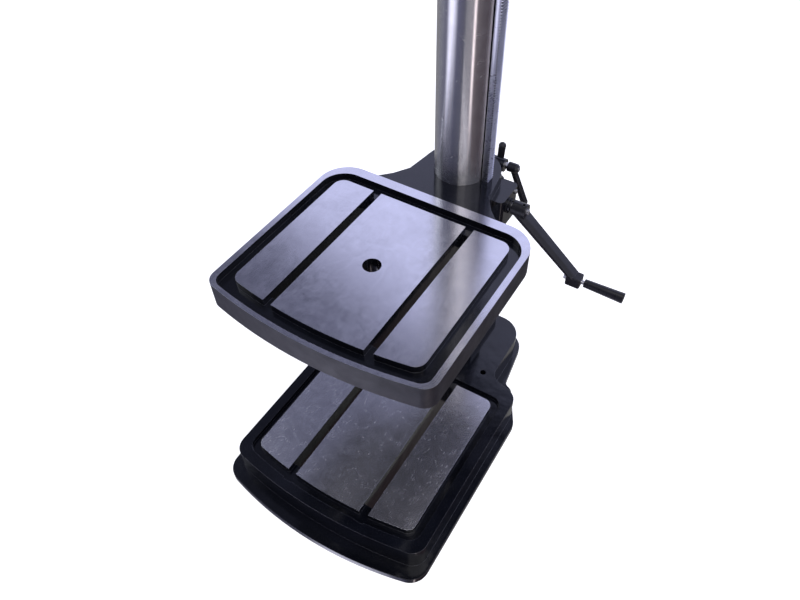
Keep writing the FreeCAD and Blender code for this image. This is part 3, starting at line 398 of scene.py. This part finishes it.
def paintFinish(spec):
    # paint over a casting: lumps, orange peel, a little dust, and bare metal at the edges
    material, tree, shader, coords = startFinish(spec["name"])
    tint = mapRange(tree, noise(tree, coords, 14.0, 4.0), 0.35, 0.65, 0.0, 1.0)
    colour = mixColour(tree, tint, scaledTone(spec["tone"], 0.75), scaledTone(spec["tone"], 1.35))
    rounded = softEdges(tree, spec["edge"])
    chips = mapRange(tree, noise(tree, coords, 220.0, 3.0), 0.42, 0.62, 0.25, 1.0)
    worn = mathNode(tree, "MULTIPLY", edgeMask(tree, rounded), chips)
    bare = mathNode(tree, "MULTIPLY", worn, spec["wear"], clamp=True)
    colour = mixColour(tree, bare, colour, spec["wearTone"])
    if spec["dust"]:
        specks = mapRange(tree, noise(tree, coords, 900.0, 2.0, 0.7), 0.66, 0.74, 0.0, spec["dust"])
        colour = mixColour(tree, specks, colour, spec["dustTone"])
    tree.links.new(colour, shader.inputs["Base Color"])
    rough = mapRange(tree, noise(tree, coords, 34.0, 4.0, 0.6), 0.3, 0.7, *spec["rough"])
    tree.links.new(rough, shader.inputs["Roughness"])
    lumpScale, lumpDepth = spec["lumps"]
    lumps = bumped(tree, noise(tree, coords, lumpScale, 2.0, 0.5), lumpDepth, 1.0, rounded)
    peel = bumped(tree, noise(tree, coords, 520.0, 2.0, 0.5), spec["peel"], 1.0, lumps)
    tree.links.new(peel, shader.inputs["Normal"])
    setShader(shader, 0.0, spec["coat"], spec["specular"], 0.0)
    return material


metalDefaults = {
    "grain": (1.0, 1.0, 1.0),  # stretch of the tool lines
    "smudge": 0.0,
    "edge": 0.0003,
    "spots": 0.0,
    "spotTone": (0.12, 0.10, 0.10, 1.0),
    "metallic": 1.0,
    "anisotropic": 0.0,
}
metals = {  # lines is the scale and depth of the tool lines, wipes the scale and amount of the oil marks
    "tableGround": {"name": "tableGroundFace", "tone": (0.84, 0.83, 0.87, 1.0), "rough": (0.16, 0.21),
                    "grain": (1.0, 0.02, 1.0), "lines": (1700.0, 0.000003), "smudge": 0.40, "spots": 0.10,
                    "wipes": (7.0, 0.16)},
    "baseGround": {"name": "baseGroundFace", "tone": (0.84, 0.83, 0.87, 1.0), "rough": (0.20, 0.26),
                   "grain": (1.0, 0.02, 1.0), "lines": (1700.0, 0.000003), "smudge": 0.40, "spots": 0.10,
                   "wipes": (9.0, 0.40), "metallic": 0.95},
    "ground_steel": {"name": "columnGround", "tone": (0.84, 0.83, 0.84, 1.0), "rough": (0.23, 0.26),
                     "grain": (0.02, 0.02, 1.0), "lines": (2400.0, 0.000002), "smudge": 0.25, "edge": 0.0004,
                     "anisotropic": 1.0, "spots": 0.12},
    "rack_steel": {"name": "rackSteel", "tone": (0.80, 0.81, 0.88, 1.0), "rough": (0.24, 0.36),
                   "grain": (0.2, 0.2, 1.0), "lines": (900.0, 0.00002), "smudge": 0.5, "spots": 0.3,
                   # painted shade at the roots of the rack's teeth
                   "gaps": {"floor": 0.0602, "lip": 0.0616, "inner": 0.0109, "outer": 0.0112,
                            "tone": (0.030, 0.028, 0.032, 1.0)}},
    "zinc_steel": {"name": "zincSteel", "tone": (0.74, 0.74, 0.74, 1.0), "rough": (0.22, 0.34),
                   "lines": (500.0, 0.00002), "smudge": 0.6, "edge": 0.0004},
    "gear_steel": {"name": "gearSteel", "tone": (0.42, 0.42, 0.44, 1.0), "rough": (0.26, 0.42),
                   "lines": (600.0, 0.00002), "smudge": 1.0, "spots": 0.7},
    "chuck_steel": {"name": "chuckSteel", "tone": (0.60, 0.60, 0.62, 1.0), "rough": (0.16, 0.28),
                    "grain": (0.1, 0.1, 1.0), "lines": (1200.0, 0.00001), "smudge": 0.6, "edge": 0.0005},
    "bearing_steel": {"name": "bearingSteel", "tone": (0.78, 0.78, 0.80, 1.0), "rough": (0.10, 0.20),
                      "grain": (0.1, 0.1, 1.0), "lines": (1400.0, 0.00001), "smudge": 0.3, "edge": 0.0004},
    "spring_steel": {"name": "springSteel", "tone": (0.22, 0.23, 0.30, 1.0), "rough": (0.24, 0.38),
                     "grain": (0.1, 0.1, 1.0), "lines": (900.0, 0.00001), "smudge": 0.8, "edge": 0.0004},
    "pulley_alloy": {"name": "pulleyAlloy", "tone": (0.72, 0.73, 0.75, 1.0), "rough": (0.24, 0.38),
                     "grain": (0.05, 0.05, 1.0), "lines": (1000.0, 0.00003), "smudge": 0.6, "edge": 0.0006,
                     "anisotropic": 0.5},
}


def wipeMarks(tree, coords, colour, scale, amount):
    # wiped oil in arcs and a few bright scratches on a ground face
    swirl = noise(tree, coords, scale, 1.5, 0.50, 1.6)
    wiped = mathNode(tree, "ABSOLUTE", mathNode(tree, "SUBTRACT", swirl, 0.5))
    arcs = mapRange(tree, wiped, 0.0, 0.03, 1.0, 0.0)
    scratch = noise(tree, stretched(tree, coords, (1.0, 0.08, 1.0)), 420.0, 1.0, 0.4)
    cuts = mapRange(tree, scratch, 0.74, 0.80, 0.0, 0.4)
    marks = mathNode(tree, "ADD", mathNode(tree, "MULTIPLY", arcs, amount), cuts, clamp=True)
    return mixColour(tree, marks, colour, (0.93, 0.93, 0.97, 1.0))


def paintedRootShade(tree, coords, colour, spec):
    # painted shade: darker at the tooth roots between the teeth than on the tips and sides
    place = newNode(tree, "ShaderNodeSeparateXYZ")
    tree.links.new(coords, place.inputs[0])
    deep = mapRange(tree, place.outputs[0], spec["floor"], spec["lip"], 1.0, 0.0)
    across = mathNode(tree, "ABSOLUTE", place.outputs[1])
    inside = mapRange(tree, across, spec["inner"], spec["outer"], 1.0, 0.0)
    return mixColour(tree, mathNode(tree, "MULTIPLY", deep, inside), colour, spec["tone"])


def metalFinish(spec):
    # bare machined metal: grain the way the tool went, smudges from handling, a few dark spots
    material, tree, shader, coords = startFinish(spec["name"])
    smudge = spec["smudge"]
    shade = mapRange(tree, noise(tree, coords, 11.0, 5.0, 0.6, 0.6), 0.3, 0.7, 0.0, 1.0)
    colour = mixColour(tree, shade, scaledTone(spec["tone"], 1.0 - 0.35 * smudge), spec["tone"])
    if spec["spots"]:
        speck = mapRange(tree, noise(tree, coords, 130.0, 4.0, 0.7), 0.64, 0.72, 0.0, spec["spots"])
        colour = mixColour(tree, speck, colour, spec["spotTone"])
    if "wipes" in spec:
        colour = wipeMarks(tree, coords, colour, *spec["wipes"])
    # painted shade in the rack's tooth roots
    if "gaps" in spec:
        colour = paintedRootShade(tree, coords, colour, spec["gaps"])
    tree.links.new(colour, shader.inputs["Base Color"])
    lineScale, lineDepth = spec["lines"]
    lines = noise(tree, stretched(tree, coords, spec["grain"]), lineScale, 3.0, 0.6)
    rough = mapRange(tree, lines, 0.3, 0.7, *spec["rough"])
    cloud = noise(tree, coords, 42.0, 4.0, 0.65, 1.2)
    blotch = mapRange(tree, cloud, 0.35, 0.7, -0.06 * smudge, 0.10 * smudge)
    tree.links.new(mathNode(tree, "ADD", rough, blotch), shader.inputs["Roughness"])
    rounded = softEdges(tree, spec["edge"])
    tree.links.new(bumped(tree, lines, lineDepth, 1.0, rounded), shader.inputs["Normal"])
    setShader(shader, spec["metallic"], 0.0, 0.5, spec["anisotropic"])
    if spec["anisotropic"] == 1.0:  # ground round the column, so highlights run up and down it
        tangent = newNode(tree, "ShaderNodeTangent", direction_type="RADIAL", axis="Z")
        tree.links.new(tangent.outputs[0], shader.inputs["Tangent"])
        shader.inputs["Anisotropic Rotation"].default_value = 0.25
    return material


finishes = {}
for slotName, spec in paints.items():
    finishes[slotName] = paintFinish({**paintDefaults, **spec})
for slotName, spec in metals.items():
    finishes[slotName] = metalFinish({**metalDefaults, **spec})
print("finishes made,", len(finishes))


for name, part in nodes.items():
    key = part.data.materials[0].name.split(".")[0]
    for place in range(len(part.data.materials)):
        part.data.materials[place] = finishes[key]
print("finishes set on the CAD nodes")

# castings with eased edges


def pieceFrom(name, mesh, body, slotName, *replaced):
    piece = bpy.data.objects.new(name, mesh)
    bpy.context.scene.collection.objects.link(piece)
    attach(piece, body)
    if replaced:
        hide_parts(*replaced)


def easeEdges(work, softness, segments, angle, **options):
    sharp = [edge for edge in work.edges
             if len(edge.link_faces) == 2 and edge.calc_face_angle(0.0) > math.radians(angle)]
    bmesh.ops.bevel(work, geom=sharp, offset=softness, offset_type="OFFSET", segments=segments, profile=0.5,
                    affect="EDGES", clamp_overlap=True, **options)


def easedCopy(nodeName, softness, surfaces, pick, segments=2):
    # the CAD solid again, in whole faces, with its sharp edges eased as a casting's or a filed part's are
    mesh = nodes[nodeName].data.copy()
    mesh.materials.clear()
    for surface in surfaces:
        mesh.materials.append(surface)
    work = bmesh.new()
    work.from_mesh(mesh)
    bmesh.ops.remove_doubles(work, verts=work.verts, dist=0.000004)
    bmesh.ops.dissolve_degenerate(work, edges=work.edges, dist=0.00001)
    bmesh.ops.dissolve_limit(work, angle_limit=math.radians(0.6), verts=work.verts, edges=work.edges,
                             delimit={"NORMAL"})
    work.normal_update()
    easeEdges(work, softness, segments, 32.0, loop_slide=True, material=-1)
    work.normal_update()
    for face in work.faces:
        face.smooth = True
        face.material_index = pick(face.calc_center_median(), face.normal)
    work.to_mesh(mesh)
    work.free()
    mesh.set_sharp_from_angle(angle=math.radians(40.0))
    return weighted(mesh)


def weighted(mesh):
    # the broad faces decide the shading, so a flat stays flat beside its eased edge
    holder = bpy.data.objects.new("holder", mesh)
    bpy.context.scene.collection.objects.link(holder)
    modifier = holder.modifiers.new("weight", "WEIGHTED_NORMAL")
    modifier.weight = 90
    modifier.keep_sharp = True
    bpy.context.view_layer.update()
    made = bpy.data.meshes.new_from_object(holder.evaluated_get(bpy.context.evaluated_depsgraph_get()))
    bpy.data.objects.remove(holder)
    bpy.data.meshes.remove(mesh)
    return made


tableSpec = {
    "top": 0.531,
    "middleY": -0.295,
    "halfX": 0.2113,
    "halfY": 0.197,
    "outerShare": 0.88,  # beyond this share of the half sizes a face is on the outer side
    "rearY": -0.08,
    "neckHalfX": 0.135,
    "neckFrontY": -0.106,
    "softness": 0.0011,
}


def isTop(place, normal, top):
    return place.z > top - 0.0004 and normal.z > 0.9


def pickTable(place, normal):
    # ground top and rim, satin outer side, enamel in the gutters and on the neck
    spec = tableSpec
    if isTop(place, normal, spec["top"]):
        return 1
    spread = max(abs(place.x) / spec["halfX"], abs(place.y - spec["middleY"]) / spec["halfY"])
    outward = normal.x * place.x + normal.y * (place.y - spec["middleY"])
    onNeck = place.y > spec["neckFrontY"] and abs(place.x) < spec["neckHalfX"]
    onSide = spread > spec["outerShare"] and outward > 0.0 and place.z < spec["top"] and normal.z > -0.5
    return 2 if onSide and not onNeck and place.y < spec["rearY"] else 0


tableSurfaces = [finishes["black_enamel"], finishes["tableGround"], finishes["table_iron"]]
tableMesh = easedCopy("table_casting", tableSpec["softness"], tableSurfaces, pickTable)
pieceFrom("tableCasting", tableMesh, "table", "table_iron", "table_casting")

baseSpec = {"top": 0.078, "softness": 0.0016}


def pickBase(place, normal):
    return 1 if isTop(place, normal, baseSpec["top"]) else 0


baseSurfaces = [finishes["black_enamel"], finishes["baseGround"]]
baseMesh = easedCopy("base_casting", baseSpec["softness"], baseSurfaces, pickBase, 3)
pieceFrom("baseCasting", baseMesh, "frame", "black_enamel", "base_casting")

easedParts = [  # node, piece, body, finish, softness, bevel segments
    ("head_casting", "headCasting", "frame", "black_enamel", 0.0025, 3),
    ("column_flange", "columnFlange", "frame", "black_enamel", 0.0015, 2),
    ("crank_arm", "crankArm", "crank", "black_crank", 0.0009, 2),
    ("gearbox_cover", "gearboxCover", "table", "black_crank", 0.0004, 2),
    ("cover_lid", "coverLid", "lid", "cover_paint", 0.0007, 2),
    ("cover_pan", "coverPan", "frame", "cover_paint", 0.0006, 2),
    ("switch_box", "switchBox", "frame", "switch_plastic", 0.0008, 2),
    ("terminal_box", "terminalBox", "frame", "motor_paint", 0.0010, 2),
]
for nodeName, pieceName, body, slotName, softness, segments in easedParts:
    mesh = easedCopy(nodeName, softness, [finishes[slotName]], lambda place, normal: 0, segments)
    pieceFrom(pieceName, mesh, body, slotName, nodeName)
print("castings eased")

# pieces made by Geometry Nodes


def startTree(name, inputs):
    tree = bpy.data.node_groups.new(name, "GeometryNodeTree")
    tree.interface.new_socket("Geometry", in_out="INPUT", socket_type="NodeSocketGeometry")
    for label, kind, value in inputs:
        socket = tree.interface.new_socket(label, in_out="INPUT", socket_type=kind)
        if value is not None:
            socket.default_value = value
    tree.interface.new_socket("Geometry", in_out="OUTPUT", socket_type="NodeSocketGeometry")
    return tree, tree.nodes.new("NodeGroupInput"), tree.nodes.new("NodeGroupOutput")


def endTree(tree, groupIn, groupOut, geometry):
    realize = tree.nodes.new("GeometryNodeRealizeInstances")
    paint = tree.nodes.new("GeometryNodeSetMaterial")
    tree.links.new(geometry, realize.inputs[0])
    tree.links.new(realize.outputs[0], paint.inputs["Geometry"])
    tree.links.new(groupIn.outputs["Material"], paint.inputs["Material"])
    tree.links.new(paint.outputs[0], groupOut.inputs[0])


def makeRoundTree():
    # copies of the element turned about Z, then the whole ring placed
    tree, groupIn, groupOut = startTree("elementsRound", [
        ("Count", "NodeSocketInt", 12),
        ("Sweep", "NodeSocketFloat", 2.0 * math.pi),
        ("Place", "NodeSocketVector", (0.0, 0.0, 0.0)),
        ("Material", "NodeSocketMaterial", None),
    ])
    line = tree.nodes.new("GeometryNodeMeshLine")
    line.inputs["Offset"].default_value = (0.0, 0.0, 0.0)
    tree.links.new(groupIn.outputs["Count"], line.inputs["Count"])
    index = tree.nodes.new("GeometryNodeInputIndex")
    share = mathNode(tree, "DIVIDE", index.outputs[0], groupIn.outputs["Count"])
    angle = mathNode(tree, "MULTIPLY", share, groupIn.outputs["Sweep"])
    turn = tree.nodes.new("ShaderNodeCombineXYZ")
    tree.links.new(angle, turn.inputs[2])
    spin = tree.nodes.new("FunctionNodeEulerToRotation")
    tree.links.new(turn.outputs[0], spin.inputs[0])
    copies = tree.nodes.new("GeometryNodeInstanceOnPoints")
    tree.links.new(line.outputs[0], copies.inputs["Points"])
    tree.links.new(groupIn.outputs["Geometry"], copies.inputs["Instance"])
    tree.links.new(spin.outputs[0], copies.inputs["Rotation"])
    move = tree.nodes.new("GeometryNodeTransform")
    tree.links.new(copies.outputs[0], move.inputs["Geometry"])
    tree.links.new(groupIn.outputs["Place"], move.inputs["Translation"])
    endTree(tree, groupIn, groupOut, move.outputs[0])
    return tree


def makeLineTree():
    tree, groupIn, groupOut = startTree("elementsInLine", [
        ("Count", "NodeSocketInt", 12),
        ("Step", "NodeSocketVector", (0.0, 0.0, 0.01)),
        ("Start", "NodeSocketVector", (0.0, 0.0, 0.0)),
        ("Material", "NodeSocketMaterial", None),
    ])
    line = tree.nodes.new("GeometryNodeMeshLine")
    tree.links.new(groupIn.outputs["Count"], line.inputs["Count"])
    tree.links.new(groupIn.outputs["Step"], line.inputs["Offset"])
    tree.links.new(groupIn.outputs["Start"], line.inputs["Start Location"])
    copies = tree.nodes.new("GeometryNodeInstanceOnPoints")
    tree.links.new(line.outputs[0], copies.inputs["Points"])
    tree.links.new(groupIn.outputs["Geometry"], copies.inputs["Instance"])
    endTree(tree, groupIn, groupOut, copies.outputs[0])
    return tree


roundTree = makeRoundTree()
lineTree = makeLineTree()


def plainPiece(name, mesh, body, slotName, *replaced):
    mesh.materials.append(finishes[slotName])
    pieceFrom(name, mesh, body, slotName, *replaced)


def grow(name, element, tree, body, slotName, values, finish=None):
    # runs a tree on the element, keeps the plain mesh, and drops the modifier before the piece rides
    values = {"Material": finishes[finish or slotName], **values}
    seed = bpy.data.objects.new(name, element)
    bpy.context.scene.collection.objects.link(seed)
    modifier = seed.modifiers.new("build", "NODES")
    modifier.node_group = tree
    for item in tree.interface.items_tree:
        if item.item_type == "SOCKET" and item.in_out == "INPUT" and item.name in values:
            modifier[item.identifier] = values[item.name]
    bpy.context.view_layer.update()
    made = bpy.data.meshes.new_from_object(seed.evaluated_get(bpy.context.evaluated_depsgraph_get()))
    made.name = name
    bpy.data.objects.remove(seed)
    bpy.data.meshes.remove(element)
    pieceFrom(name, made, body, slotName)


def solidMesh(name, build, bevel=0.0, segments=2, angle=30.0):
    work = bmesh.new()
    build(work)
    bmesh.ops.remove_doubles(work, verts=work.verts, dist=0.000002)
    bmesh.ops.recalc_face_normals(work, faces=work.faces)
    if bevel:
        easeEdges(work, bevel, segments, angle)
    for face in work.faces:
        face.smooth = True
    mesh = bpy.data.meshes.new(name)
    work.to_mesh(mesh)
    work.free()
    mesh.set_sharp_from_angle(angle=math.radians(angle))
    return mesh


def prism(work, outline, along):
    # a closed outline of points, carried along a vector
    low = [work.verts.new(point) for point in outline]
    high = [work.verts.new(Vector(point) + Vector(along)) for point in outline]
    work.faces.new(low)
    work.faces.new(reversed(high))
    count = len(outline)
    for step in range(count):
        following = (step + 1) % count
        work.faces.new((low[following], low[step], high[step], high[following]))


def placer(place, axis):
    # carries a point from beside the Z axis to beside the axis given
    turn = Vector((0.0, 0.0, 1.0)).rotation_difference(Vector(axis)).to_matrix()
    return lambda x, y, z: Vector(place) + turn @ Vector((x, y, z))


def lathe(work, profile, steps=32, place=(0.0, 0.0, 0.0), axis=(0.0, 0.0, 1.0)):
    # a profile of (radius, height) turned about the axis; radius 0 closes an end
    put = placer(place, axis)
    rings = []
    for radius, height in profile:
        if radius < 0.0000001:
            rings.append([work.verts.new(put(0.0, 0.0, height))])
            continue
        ring = []
        for step in range(steps):
            angle = 2.0 * math.pi * step / steps
            ring.append(work.verts.new(put(radius * math.cos(angle), radius * math.sin(angle), height)))
        rings.append(ring)
    for first, second in zip(rings, rings[1:]):
        for step in range(steps):
            following = (step + 1) % steps
            corners = [first[step % len(first)], first[following % len(first)],
                       second[following % len(second)], second[step % len(second)]]
            kept = []
            for corner in corners:
                if corner not in kept:
                    kept.append(corner)
            if len(kept) > 2:
                work.faces.new(kept)


def socketScrew(work, radius, height, socket, place=(0.0, 0.0, 0.0), axis=(0.0, 0.0, 1.0)):
    # a turned head with a hexagon socket sunk in it
    put = placer(place, axis)
    steps = 24
    sixth = math.radians(60.0)
    levels = ((radius, 0.0, False), (radius, 0.85, False), (radius * 0.9, 1.0, False),
              (socket, 1.0, True), (socket, 0.4, True))
    rings = []
    for size, level, isHexagon in levels:
        ring = []
        for step in range(steps):
            angle = 2.0 * math.pi * step / steps
            reach = size
            if isHexagon:
                reach = size * math.cos(sixth / 2.0) / math.cos(angle % sixth - sixth / 2.0)
            ring.append(work.verts.new(put(reach * math.cos(angle), reach * math.sin(angle), height * level)))
        rings.append(ring)
    for first, second in zip(rings, rings[1:]):
        for step in range(steps):
            following = (step + 1) % steps
            work.faces.new((first[step], first[following], second[following], second[step]))
    work.faces.new(rings[0])
    work.faces.new(rings[-1])


# the rack: a bar with teeth, one tooth every pitch
rackSpec = {
    "module": 0.0015,
    "tip": 0.063,
    "depth": 0.0033,
    "halfWidth": 0.0113,
    "gearZ": 0.461,
    "margin": 0.003,
    "barFront": 0.0597,
    "barBack": 0.0503,
    "barEase": 0.0005,
    "toothEase": 0.0002,
}


def rackTooth(work):
    spec = rackSpec
    module = spec["module"]
    root = spec["tip"] - spec["depth"] - 0.0004
    half = spec["halfWidth"]
    sides = [(root, -0.95), (spec["tip"], -0.35), (spec["tip"], 0.35), (root, 0.95)]
    prism(work, [(x, -half, share * module) for x, share in sides], (0.0, 2.0 * half, 0.0))


rackLow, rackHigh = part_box("rack")
pitch = math.pi * rackSpec["module"]
plainEnd = rackSpec["margin"] + rackSpec["module"]
firstTooth = math.ceil((rackLow.z + plainEnd - rackSpec["gearZ"]) / pitch)
lastTooth = math.floor((rackHigh.z - plainEnd - rackSpec["gearZ"]) / pitch)
toothCount = lastTooth - firstTooth + 1
print("rack teeth", toothCount)


def rackBar(work):
    spec = rackSpec
    half = spec["halfWidth"]
    outline = [(spec["barBack"], -half, rackLow.z), (spec["barFront"], -half, rackLow.z),
               (spec["barFront"], half, rackLow.z), (spec["barBack"], half, rackLow.z)]
    prism(work, outline, (0.0, 0.0, rackHigh.z - rackLow.z))


plainPiece("rackBar", solidMesh("rackBar", rackBar, rackSpec["barEase"]), "swing", "rack_steel", "rack")
grow("rackTeeth", solidMesh("rackTooth", rackTooth, rackSpec["toothEase"], 1), lineTree, "swing", "rack_steel",
     {"Count": toothCount, "Step": (0.0, 0.0, pitch),
      "Start": (0.0, 0.0, rackSpec["gearZ"] + firstTooth * pitch)})

# knurl on the chuck's key sleeve
knurlSpec = {"count": 66, "stand": 0.0005, "sink": 0.0003, "width": 0.0016, "margin": 0.003}
sleeveLow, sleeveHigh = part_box("chuck_sleeve")
sleeveRadius = (sleeveHigh.x - sleeveLow.x) / 2.0


def knurlRidge(work):
    spec = knurlSpec
    half = spec["width"] / 2.0
    low = sleeveLow.z + spec["margin"]
    foot = sleeveRadius - spec["sink"]
    outline = [(foot, -half, low), (sleeveRadius + spec["stand"], 0.0, low), (foot, half, low)]
    prism(work, outline, (0.0, 0.0, sleeveHigh.z - sleeveLow.z - 2.0 * spec["margin"]))


chuckAxisY = (sleeveLow.y + sleeveHigh.y) / 2.0
grow("chuckKnurl", solidMesh("knurlRidge", knurlRidge), roundTree, "sleeve", "chuck_steel",
     {"Count": knurlSpec["count"], "Place": (0.0, chuckAxisY, 0.0)})

# cooling fan of the motor, seen through its cover's slots
fanSpec = {
    "blades": 9,
    "inner": 0.014,
    "outer": 0.066,
    "slant": 0.006,
    "thick": 0.0018,
    "hub": 0.016,
    "low": 1.300,
    "high": 1.326,
    "motorY": 0.175,
}


def fanBlade(work):
    spec = fanSpec
    low, thick = spec["low"], spec["thick"]
    outline = [(spec["inner"], 0.0, low), (spec["outer"], spec["slant"], low),
               (spec["outer"], spec["slant"] + thick, low), (spec["inner"], thick, low)]
    prism(work, outline, (0.0, 0.0, spec["high"] - low))


def fanHub(work):
    spec = fanSpec
    nose = spec["low"] - 0.002
    profile = [(0.0, nose), (spec["hub"] - 0.002, nose), (spec["hub"], spec["low"]),
               (spec["hub"], spec["high"]), (0.0, spec["high"])]
    lathe(work, profile, 32, (0.0, spec["motorY"], 0.0))


grow("motorFanBlades", solidMesh("fanBlade", fanBlade, 0.0004), roundTree, "motor_rotor", "switch_plastic",
     {"Count": fanSpec["blades"], "Place": (0.0, fanSpec["motorY"], 0.0)})
plainPiece("motorFanHub", solidMesh("fanHub", fanHub, 0.0005), "motor_rotor", "switch_plastic")

# depth marks cut round the stop rod
ringSpec = {"radius": 0.00606, "height": 0.0006, "count": 31, "step": 0.005, "start": 1.305}
rodLow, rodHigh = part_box("depth_rod")


def depthRing(work):
    radius, height = ringSpec["radius"], ringSpec["height"]
    lathe(work, [(0.0, 0.0), (radius, 0.0), (radius, height), (0.0, height)], 28)


grow("depthMarks", solidMesh("depthRing", depthRing), lineTree, "quill", "gear_steel",
     {"Count": ringSpec["count"], "Step": (0.0, 0.0, ringSpec["step"]),
      "Start": ((rodLow.x + rodHigh.x) / 2.0, (rodLow.y + rodHigh.y) / 2.0, ringSpec["start"])},
     "switch_plastic")

# pressed louvres on the lid
louvreSpec = {
    "count": 7,
    "step": (0.014, 0.0, 0.0),
    "start": (-0.042, 0.13, 1.7117),
    "length": 0.060,
    "rise": 0.0022,
    "section": [(-0.0045, 0.0), (0.0045, 0.0), (0.0040, 0.8), (0.0026, 1.0), (-0.0010, 0.8)],
}


def louvre(work):
    spec = louvreSpec
    outline = [(x, 0.0, share * spec["rise"]) for x, share in spec["section"]]
    prism(work, outline, (0.0, spec["length"], 0.0))


grow("lidLouvres", solidMesh("louvre", louvre, 0.0006), lineTree, "lid", "cover_paint",
     {"Count": louvreSpec["count"], "Step": louvreSpec["step"], "Start": louvreSpec["start"]})

# small bright screws
screwSpec = {  # body, place, axis, radius, height, half width of the socket
    "crankEndScrew": ("crank", (0.142, 0.006, 0.481), (1.0, 0.0, 0.0), 0.0052, 0.0035, 0.0024),
    "upperLeverScrew": ("upper_lever", (0.089, 0.070, 0.517), (1.0, 0.0, 0.0), 0.0042, 0.0020, 0.0018),
    "lowerLeverScrew": ("lower_lever", (0.052, 0.086, 0.465), (1.0, 0.0, 0.0), 0.0042, 0.0020, 0.0018),
    "gearboxPlugScrew": ("table", (0.104, 0.030, 0.497), (1.0, 0.0, 0.0), 0.0048, 0.0026, 0.0022),
}
for name, (body, place, axis, radius, height, socket) in screwSpec.items():
    mesh = solidMesh(name, lambda work: socketScrew(work, radius, height, socket, place, axis))
    plainPiece(name, mesh, body, "zinc_steel")

coverScrewSpec = {
    "radius": 0.0042,
    "height": 0.0026,
    "socket": 0.0018,
    "x": 0.084,
    "z": 0.436,
    "step": (0.012, 0.0, 0.0),
    "rows": {"coverScrewsFront": -0.020, "coverScrewsBack": 0.036},
}


def coverScrew(work):
    spec = coverScrewSpec
    socketScrew(work, spec["radius"], spec["height"], spec["socket"], axis=(0.0, 0.0, -1.0))


for name, y in coverScrewSpec["rows"].items():
    grow(name, solidMesh(name, coverScrew), lineTree, "table", "zinc_steel",
         {"Count": 2, "Step": coverScrewSpec["step"], "Start": (coverScrewSpec["x"], y, coverScrewSpec["z"])})

# nut and washer that hold the return spring's cup
nutSpec = {
    "y": -0.254,
    "z": 1.350,
    "face": -0.092,
    "washer": (0.0165, 0.002),  # radius and height
    "nut": (0.0135, 0.0085, 0.0015),  # radius, height and the slope at the end
    "stud": (0.0075, 0.0125, 0.0010),
    "ease": 0.0003,
}


def springNut(work):
    spec = nutSpec
    axis = (-1.0, 0.0, 0.0)
    radius, height = spec["washer"]
    place = (spec["face"], spec["y"], spec["z"])
    lathe(work, [(0.0, 0.0), (radius, 0.0), (radius, height), (0.0, height)], 32, place, axis)
    place = (spec["face"] - height, spec["y"], spec["z"])
    for key, steps in (("nut", 6), ("stud", 24)):
        radius, height, slope = spec[key]
        top = height + slope
        profile = [(0.0, 0.0), (radius, 0.0), (radius, height), (radius - slope, top), (0.0, top)]
        lathe(work, profile, steps, place, axis)


plainPiece("springNut", solidMesh("springNut", springNut, nutSpec["ease"]), "feed", "zinc_steel")
print("repeated and small pieces made")
